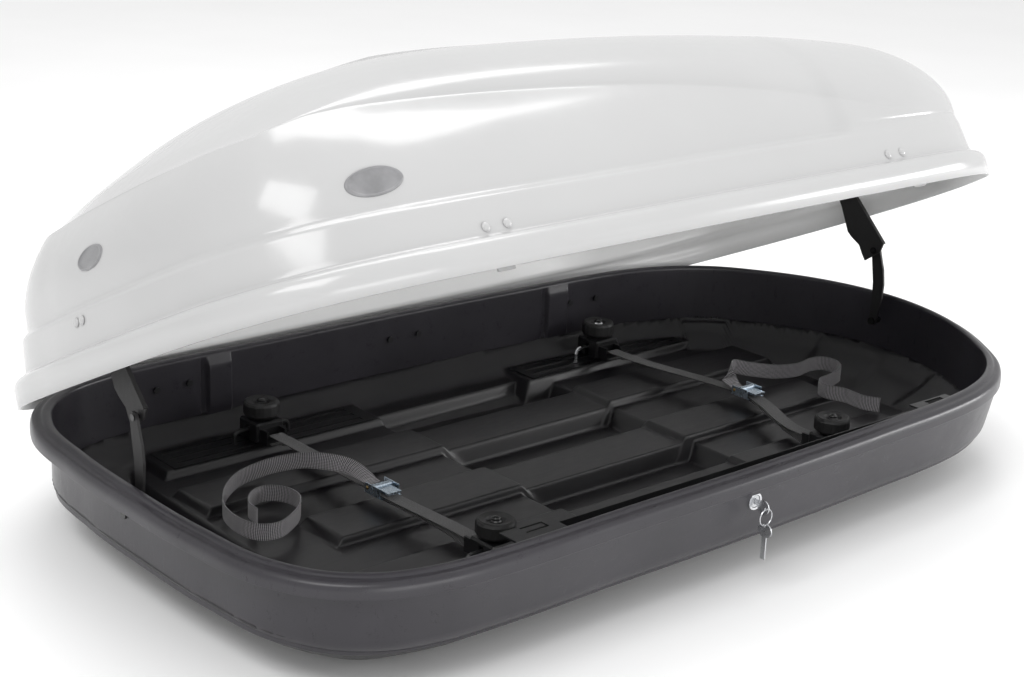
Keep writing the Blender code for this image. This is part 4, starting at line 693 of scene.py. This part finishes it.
def lid_stack(points, normals):
    """Rings of the closed lid's outer skin, hem first, spine of the roof last."""
    rings, radii = [], []
    faded = np.clip((points[:, 0] - 0.235) / 0.03, 0, 1)
    lower = ((0.0, 0.0, HEM_Z, 0.0), (0.0010, 0.0010, 0.166, 0.006),
             (0.0040, 0.0040, 0.174, 0.004), (0.0100, 0.0100, 0.179, 0.004),
             (0.0205, 0.0205, CREASE_A, 0.003), (0.0220, 0.0220, 0.189, 0.003),
             (0.0280, 0.0270, 0.231, 0.004), (0.0375, 0.0300, CREASE_B, 0.004),
             (0.0385, 0.0310, 0.246, 0.004))
    lift = 0.005 * np.clip(normals[:, 0], 0, 1) ** 2
    for step, plain, z, radius in lower:
        inset = step + (plain - step) * faded
        off = mix(SKIRT_OUT, normals) - inset
        ring = np.column_stack([points + normals * off[:, None], np.full(len(points), z)])
        if CREASE_A <= z < 0.19:
            ring[:, 2] += lift
        rings.append(ring)
        radii.append(radius)
    top = smooth_table(CREASE_C, points[:, 0])
    foot = 0.038 - 0.008 * faded
    for share in (0.2, 0.38, 0.55, 0.68, 0.80, 0.90, 1.0):
        z = 0.246 + (top - 0.246) * share
        lean = 0.062 * np.maximum(0.0, (z - 0.239) / 0.132) ** 2.1
        off = mix(SKIRT_OUT, normals) - foot - lean
        rings.append(np.column_stack([points + normals * off[:, None], z]))
        radii.append(0.0)
    crest = rings[-1]
    radii[-1] = 0.006
    reach = 0.42 - 0.24 * np.clip(-normals[:, 0], 0, 1) ** 2
    spine = np.clip(crest[:, 0], -0.45, 0.45)
    for s in np.linspace(0.0, 1.0, 34)[1:]:
        t = s**2.2
        x = crest[:, 0] + (spine - crest[:, 0]) * t
        y = crest[:, 1] * (1.0 - t)
        u = np.minimum(1.0, t / reach)
        rise = np.sqrt(np.maximum(0.0, 1.0 - (1.0 - u) ** 2))
        rings.append(np.column_stack([x, y, crest[:, 2] + (roof(x, y) - crest[:, 2]) * rise]))
        radii.append(0.0)
    return soften(rings, radii)


def opening_matrix():
    """Turn of the lid from closed to open."""
    pivot = Vector((0.0, HINGE_Y, HINGE_Z))
    turn = Matrix.Rotation(-math.radians(OPEN_DEG), 4, "X")
    return Matrix.Translation(pivot) @ turn @ Matrix.Translation(-pivot)


def make_lid():
    """Sheet lid with a skirt, two tiers and a domed roof."""
    points, normals = outline(LID_COLUMNS)
    stack = lid_stack(points, normals)
    verts = np.concatenate(stack)
    lid = new_piece("lid_skin", verts, grid_faces(len(stack), len(points), flip=True),
                    LID, "lid")
    bm = bmesh.new()
    bm.from_mesh(lid.data)
    weld, sliver = 0.00015, 0.00005
    bmesh.ops.remove_doubles(bm, verts=bm.verts, dist=weld)
    bmesh.ops.dissolve_degenerate(bm, dist=sliver, edges=bm.edges)
    bmesh.ops.recalc_face_normals(bm, faces=bm.faces)
    top = max(bm.faces, key=lambda f: f.calc_center_median().z)
    if top.normal.z < 0:
        bmesh.ops.reverse_faces(bm, faces=bm.faces)
    bm.to_mesh(lid.data)
    bm.free()
    # The inner face takes the lighter material: painted light inside the lid.
    lid.data.materials.append(LID_INNER_PAINTED_LIGHT)
    modify(lid, "SOLIDIFY", thickness=LID_SHEET, offset=-1.0, material_offset=1)
    lid.data.transform(opening_matrix())
    lid.data.shade_smooth()
    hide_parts("lid_shell")


# ---------------------------------------------------------------- straps
STRAPS = {
    "nose": {"far": "far_nose", "near": "near_nose", "mid": (-0.357, 0.015),
             "tail": ((-0.357, 0.034, 0.0650), (-0.357, 0.048, 0.0700),
                      (-0.366, 0.094, 0.0800), (-0.400, 0.145, 0.0790),
                      (-0.435, 0.176, 0.0700), (-0.470, 0.187, 0.0620),
                      (-0.504, 0.180, 0.0580), (-0.545, 0.145, 0.0580),
                      (-0.575, 0.100, 0.0580), (-0.585, 0.061, 0.0580),
                      (-0.583, 0.025, 0.0580), (-0.570, 0.005, 0.0580),
                      (-0.545, 0.000, 0.0580), (-0.515, 0.015, 0.0580),
                      (-0.490, 0.035, 0.0580), (-0.470, 0.065, 0.0580),
                      (-0.472, 0.098, 0.0580), (-0.492, 0.118, 0.0580),
                      (-0.520, 0.112, 0.0580), (-0.543, 0.085, 0.0580),
                      (-0.548, 0.055, 0.0580))},
    "tail": {"far": "far_tail", "near": "near_tail", "mid": (0.400, 0.000),
             "tail": ((0.400, 0.019, 0.0650), (0.400, 0.033, 0.0700),
                      (0.404, 0.050, 0.0800), (0.435, 0.070, 0.0840),
                      (0.468, 0.060, 0.0760), (0.520, 0.050, 0.0640),
                      (0.569, 0.041, 0.0600), (0.610, 0.046, 0.0600),
                      (0.636, 0.038, 0.0600), (0.640, 0.010, 0.0600),
                      (0.617, -0.018, 0.0600), (0.575, -0.030, 0.0600),
                      (0.540, -0.036, 0.0600), (0.527, -0.062, 0.0600),
                      (0.539, -0.095, 0.0600), (0.538, -0.134, 0.0600),
                      (0.552, -0.161, 0.0600))},
}


def strap_x(end, y):
    """X of the strap's centre line, bowed between its clamps."""
    spec = STRAPS[end]
    fx, fy = CLAMPS[spec["far"]]
    nx, ny = CLAMPS[spec["near"]]
    mx, my = spec["mid"]
    if y > my:
        s = min(1.0, (y - my) / (fy - 0.06 - my))
        return mx + (fx - mx) * (3 * s * s - 2 * s**3)
    s = min(1.0, (my - y) / (my - ny - 0.06))
    return mx + (nx - mx) * (3 * s * s - 2 * s**3)


def curve_through(knots, steps):
    """Points on a smooth curve through knots (Catmull-Rom), steps per span."""
    knots = [Vector(k) for k in knots]
    ends = [knots[0] * 2 - knots[1]] + knots + [knots[-1] * 2 - knots[-2]]
    points = []
    for p0, p1, p2, p3 in zip(ends, ends[1:], ends[2:], ends[3:]):
        for k in range(steps):
            t = k / steps
            points.append(0.5 * ((2 * p1) + (p2 - p0) * t + (2 * p0 - 5 * p1 + 4 * p2 - p3) * t**2
                                 + (3 * p1 - p0 - 3 * p2 + p3) * t**3))
    points.append(knots[-1])
    return points


def ribbon(name, spine, across, body, look):
    """Webbing along a path, with a UV map in metres along it and 0 to 1 across it."""
    points = [Vector(p) for p in spine]
    section = ((-0.5, 0.5), (-0.5, -0.5), (0.5, -0.5), (0.5, 0.5))
    verts, lengths = [], [0.0]
    for i, here in enumerate(points):
        before, after = points[max(i - 1, 0)], points[min(i + 1, len(points) - 1)]
        ahead = (after - before).normalized()
        wide = Vector(across[i])
        wide = (wide - ahead * wide.dot(ahead)).normalized()
        thin = ahead.cross(wide)
        if i:
            lengths.append(lengths[-1] + (here - points[i - 1]).length)
        for a, b in section:
            verts.append(here + wide * a * WEB_W + thin * b * WEB_T)
    faces, uvs = [], []
    for i in range(len(points) - 1):
        for k in range(4):
            j = (k + 1) % 4
            faces.append((i * 4 + k, i * 4 + j, i * 4 + 4 + j, i * 4 + 4 + k))
            for row, side in ((i, k), (i, j), (i + 1, j), (i + 1, k)):
                uvs.append((lengths[row], section[side][0] + 0.5))
    last = 4 * (len(points) - 1)
    faces += [(3, 2, 1, 0), (last, last + 1, last + 2, last + 3)]
    uvs += [(0.0, 0.5)] * 4 + [(lengths[-1], 0.5)] * 4
    mesh = bpy.data.meshes.new(name)
    mesh.from_pydata([tuple(v) for v in verts], [], faces)
    layer = mesh.uv_layers.new(name="strap")
    for loop, uv in zip(layer.data, uvs):
        loop.uv = uv
    obj = place(name, mesh)
    use(obj, look)
    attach(obj, body)
    return obj, points, lengths[-1]


def make_strap(end):
    """Main strap round both eyes, and the free tail on its edge."""
    spec = STRAPS[end]
    _, fy = CLAMPS[spec["far"]]
    _, ny = CLAMPS[spec["near"]]
    _, my = spec["mid"]
    far_bar, near_bar = fy - EYE_BAR, ny + EYE_BAR

    def eye(bar_y, inward):
        """Turn round an eye bar, from under it to over it."""
        return [(bar_y + inward * 0.006, 0.0492), (bar_y, 0.0492),
                (bar_y - inward * EYE_WRAP, 0.0503),
                (bar_y - inward * (EYE_WRAP + 0.0006), 0.0560),
                (bar_y - inward * EYE_WRAP, 0.0617), (bar_y, RUN_Z),
                (bar_y + inward * 0.006, RUN_Z)]

    path = [(far_bar - 0.042, 0.0600), (far_bar - 0.030, 0.0590), (far_bar - 0.016, 0.0530)]
    path += eye(far_bar, -1.0)
    start, stop = far_bar - 0.02, near_bar + 0.02
    run_steps = 40
    for k in range(run_steps + 1):
        path.append((start + (stop - start) * k / run_steps, RUN_Z))
    path += list(reversed(eye(near_bar, 1.0)))
    path += [(near_bar + 0.018, 0.0520), (near_bar + 0.050, 0.0560),
             (near_bar + 0.100, 0.0585), (my - 0.026, 0.0590), (my - 0.010, 0.0590)]
    spine = [(strap_x(end, y), y, z) for y, z in path]
    strap, _, length = ribbon(f"cargo_strap_web_{end}", spine, [(1.0, 0.0, 0.0)] * len(spine),
                              "tub", STRAP)
    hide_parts(f"cargo_strap_{end}")

    fine = 10
    spine = curve_through(spec["tail"], fine)
    across = []
    for i in range(len(spine)):
        s = min(1.0, max(0.0, (i / fine - 1.0) / 2.0))
        a = s * math.pi / 2
        across.append((math.cos(a), 0.0, math.sin(a)))
    # The tail takes the lighter webbing: painted light on its edge.
    tail, points, length = ribbon(f"strap_tail_web_{end}", spine, across, "tub", TAIL_WEB_PAINTED_LIGHT)
    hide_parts(f"strap_tail_{end}")


# ---------------------------------------------------------------- rivet caps and badges
CATCH_RIVETS = (-0.4615, -0.4275, 0.323, 0.357)
CATCH_Z = 0.1930
LID_FACE_OUT = 0.0153  # rim's inner edge to the lid's outer skin at CATCH_Z
STAY_LID = {"nose": (0.140, 0.366), "tail": (0.128, 0.366)}
BRACKET_DY = (-0.034, -0.017)


def dome(name, centre, way, radius, height, look, body, opened=False):
    """A low domed head with a small flange, its base at centre, standing along way."""
    profile = ((0.0, 1.0), (0.35, 0.96), (0.62, 0.80), (0.80, 0.52), (0.86, 0.30),
               (1.0, 0.24), (1.0, 0.0), (0.0, 0.0))
    way = Vector(way).normalized()
    side = way.orthogonal().normalized()
    up = way.cross(side)
    bm = bmesh.new()
    rings = []
    count = 28
    for share, rise in profile:
        ring = []
        for k in range(count if share else 1):
            a = 2 * math.pi * k / count
            ring.append(bm.verts.new(Vector(centre) + way * height * rise
                                     + (side * math.cos(a) + up * math.sin(a)) * radius * share))
        rings.append(ring)
    bridge_rings(bm, rings)
    if opened:
        bm.transform(opening_matrix())
    return piece_from_bmesh(name, bm, look, body, angle=40)


def end_skin(end, z, edge):
    """X of the closed lid's outer skin on an end wall."""
    inset = float(np.interp(z, (CREASE_A, 0.189, 0.231),
                            (0.0205, 0.022, 0.028 if end == "nose" else 0.027)))
    if end == "nose":
        return -(edge + SKIRT_OUT[0] - inset)
    return edge + SKIRT_OUT[1] - inset


def make_caps():
    """White caps over the rivets that come through the lid, black ones on the knob screws."""
    for i, x in enumerate(CATCH_RIVETS):
        y = -(half_width(x) + LID_FACE_OUT)
        cap = dome(f"lid_rivet_cap_{i}", (x, y, CATCH_Z), (0.0, -1.0, 0.12), CAP_RADIUS, 0.0028,
                   RIVET_WHITE, "lid", True)
    turn = math.radians(OPEN_DEG)
    for end, (py, pz) in STAY_LID.items():
        dy, dz = py - HINGE_Y, pz - HINGE_Z
        cy = HINGE_Y + dy * math.cos(turn) - dz * math.sin(turn)
        cz = HINGE_Z + dy * math.sin(turn) + dz * math.cos(turn)
        out = -1.0 if end == "nose" else 1.0
        for k, step in enumerate(BRACKET_DY):
            skin = end_skin(end, cz - 0.004, abs(end_x(end, cy + step)))
            cap = dome(f"lid_rivet_cap_{end}_{k}", (skin + out * 0.0008, cy + step, cz - 0.004),
                       (out, 0.0, 0.12), CAP_RADIUS, 0.0034, RIVET_WHITE, "lid", True)
    for tag in CLAMPS:
        low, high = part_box(f"clamp_stud_{tag}")
        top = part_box(f"clamp_knob_{tag}")[1][2]
        x, y = (low[0] + high[0]) / 2, (low[1] + high[1]) / 2
        z = max(top, high[2]) - 0.0008
        cap = dome(f"clamp_screw_cap_{tag}", (x, y, z), (0.0, 0.0, 1.0), 0.0072, 0.0042, SCREW,
                   f"knob_{tag}")


def make_buckle_details():
    """Brass rivets on each cam buckle's cheeks and on the webbing beside it."""
    for end in STRAPS:
        mx, my = STRAPS[end]["mid"]
        low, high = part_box(f"buckle_frame_{end}")
        for k, side in enumerate((-1.0, 1.0)):
            x = high[0] if side > 0 else low[0]
            cap = dome(f"buckle_rivet_{end}_{k}", (x - side * 0.0002, my + 0.0150, 0.0690),
                       (side, 0.0, 0.0), 0.0030, 0.0012, BRASS, "tub")
        cap = dome(f"buckle_rivet_{end}_top", (mx, my + 0.0130, RUN_Z + WEB_T / 2 + 0.0001),
                   (0.0, 0.0, 1.0), 0.0042, 0.0020, BRASS, "tub")


def make_badge(name, centre, inward, along_way, half):
    """Blank oval plate with a raised rim, lying on the lid's skin."""
    skin = bpy.data.objects["lid_skin"]
    closed = opening_matrix().inverted()
    tree = BVHTree.FromPolygons([closed @ v.co for v in skin.data.vertices],
                                [tuple(p.vertices) for p in skin.data.polygons])
    inward = Vector(inward).normalized()
    start = Vector(centre) - inward * 0.15
    _, normal, _, _ = tree.ray_cast(start, inward)
    if normal.dot(inward) > 0:
        normal = -normal
    across = Vector(along_way)
    across = (across - normal * across.dot(normal)).normalized()
    up = normal.cross(across)
    profile = ((0.0, 0.0010), (0.30, 0.0010), (0.60, 0.0010), (0.80, 0.0010), (0.84, 0.0012),
               (0.87, 0.0020), (0.92, 0.0022), (0.97, 0.0018), (1.0, 0.0004), (1.0, -0.0012))
    bm = bmesh.new()
    rings = []
    count = 64
    for share, rise in profile:
        ring = []
        for k in range(count if share else 1):
            a = 2 * math.pi * k / count
            flat = (Vector(centre) + across * math.cos(a) * half[0] * share
                    + up * math.sin(a) * half[1] * share)
            hit, _, _, _ = tree.ray_cast(flat + normal * 0.08, -normal)
            ring.append(bm.verts.new(hit + normal * rise))
        rings.append(ring)
    bridge_rings(bm, rings)
    bm.faces.new(rings[-1])
    bm.transform(opening_matrix())
    badge = piece_from_bmesh(name, bm, BADGE, "lid", angle=50)


for strap_end in STRAPS:
    make_strap(strap_end)
make_tub()
make_lid()
make_caps()
make_buckle_details()
make_badge("blank_badge_near", (-0.588, -0.400, 0.275), (0.05, 1.0, 0.0), (1.0, 0.0, 0.0),
           (0.040, 0.019))
make_badge("blank_badge_nose", (-0.750, 0.017, 0.291), (1.0, 0.0, -0.1), (0.0, -1.0, 0.0),
           (0.036, 0.017))

# ---------------------------------------------------------------- CAD pieces kept as they are
# The first entry that a node's name starts with gives its material.
# The far tail clamp's stud and claw get bright plate and the other three clamps' coated black
# steel, though the four clamps are alike: painted light, the far tail one lit and the other three
# in painted shade.
LOOKS = (("slot_plate", PLATE), ("clamp_body", MOULDED), ("clamp_knob", KNOB),
         ("clamp_stud_far_tail", CHROME), ("clamp_stud", BLACK_STEEL),
         ("clamp_claw_far_tail", CHROME), ("clamp_claw", BLACK_STEEL),
         ("hinge_tub_leaf", BLACK_STEEL), ("hinge_lid_leaf", BLACK_STEEL),
         ("hinge_pin", STEEL), ("stay_lower", STAY),
         ("stay_upper", STAY), ("stay_knee_pin", SCREW), ("stay_bolt", SCREW),
         ("stay_lid_bracket", BLACK_STEEL), ("lock_escutcheon", CHROME), ("lock_barrel", STEEL),
         ("key", STEEL), ("spare_key", STEEL), ("lock_slide_bar", BLACK_STEEL),
         ("tub_catch", BLACK_STEEL), ("lid_catch", RIVET_WHITE), ("buckle_frame", ZINC),
         ("cam_lever", ZINC))
for node_name, node in NODES.items():
    for prefix, look in LOOKS:
        if node_name.startswith(prefix):
            use(node, look)
            break


# ---------------------------------------------------------------- stage
def make_stage():
    """Pale flat floor, white surroundings and soft studio lights."""
    bm = bmesh.new()
    bmesh.ops.create_grid(bm, x_segments=2, y_segments=2, size=14.0)
    mesh = bpy.data.meshes.new("stage_floor")
    bm.to_mesh(mesh)
    bm.free()
    ground = place("stage_floor", mesh)
    ground.location = (0.0, 0.0, -0.001)
    g = Graph("stage_pale", 0.85)
    g.link(g.ramp(g.noise(2.0, 2.0), 0.3, 0.7, ((0.93, 0.93, 0.93), (0.95, 0.95, 0.95))),
           g.shader.inputs["Base Color"])
    use(ground, g.mat)

    world = bpy.data.worlds.new("studio")
    world.use_nodes = True
    world.node_tree.nodes["Background"].inputs["Color"].default_value = (1.0, 1.0, 1.0, 1.0)
    world.node_tree.nodes["Background"].inputs["Strength"].default_value = 0.85
    bpy.context.scene.world = world
    bpy.context.scene.view_settings.view_transform = "Standard"

    def area(name, at, look_at, size, power):
        data = bpy.data.lights.new(name, "AREA")
        data.shape = "RECTANGLE"
        data.size, data.size_y = size
        data.energy = power
        light = place(name, data)
        light.location = at
        way = Vector(look_at) - Vector(at)
        light.rotation_euler = way.to_track_quat("-Z", "Y").to_euler()

    area("key", (-2.6, -1.2, 3.2), (0.0, 0.0, 0.2), (2.4, 1.6), 55.0)
    area("top", (0.6, 1.0, 3.4), (0.0, 0.0, 0.2), (3.0, 1.4), 50.0)
    area("front", (-0.4, -3.4, 0.45), (0.1, 0.0, 0.3), (3.2, 0.8), 24.0)
    area("right", (3.0, -1.8, 0.7), (0.3, 0.2, 0.3), (1.6, 0.9), 40.0)


make_stage()
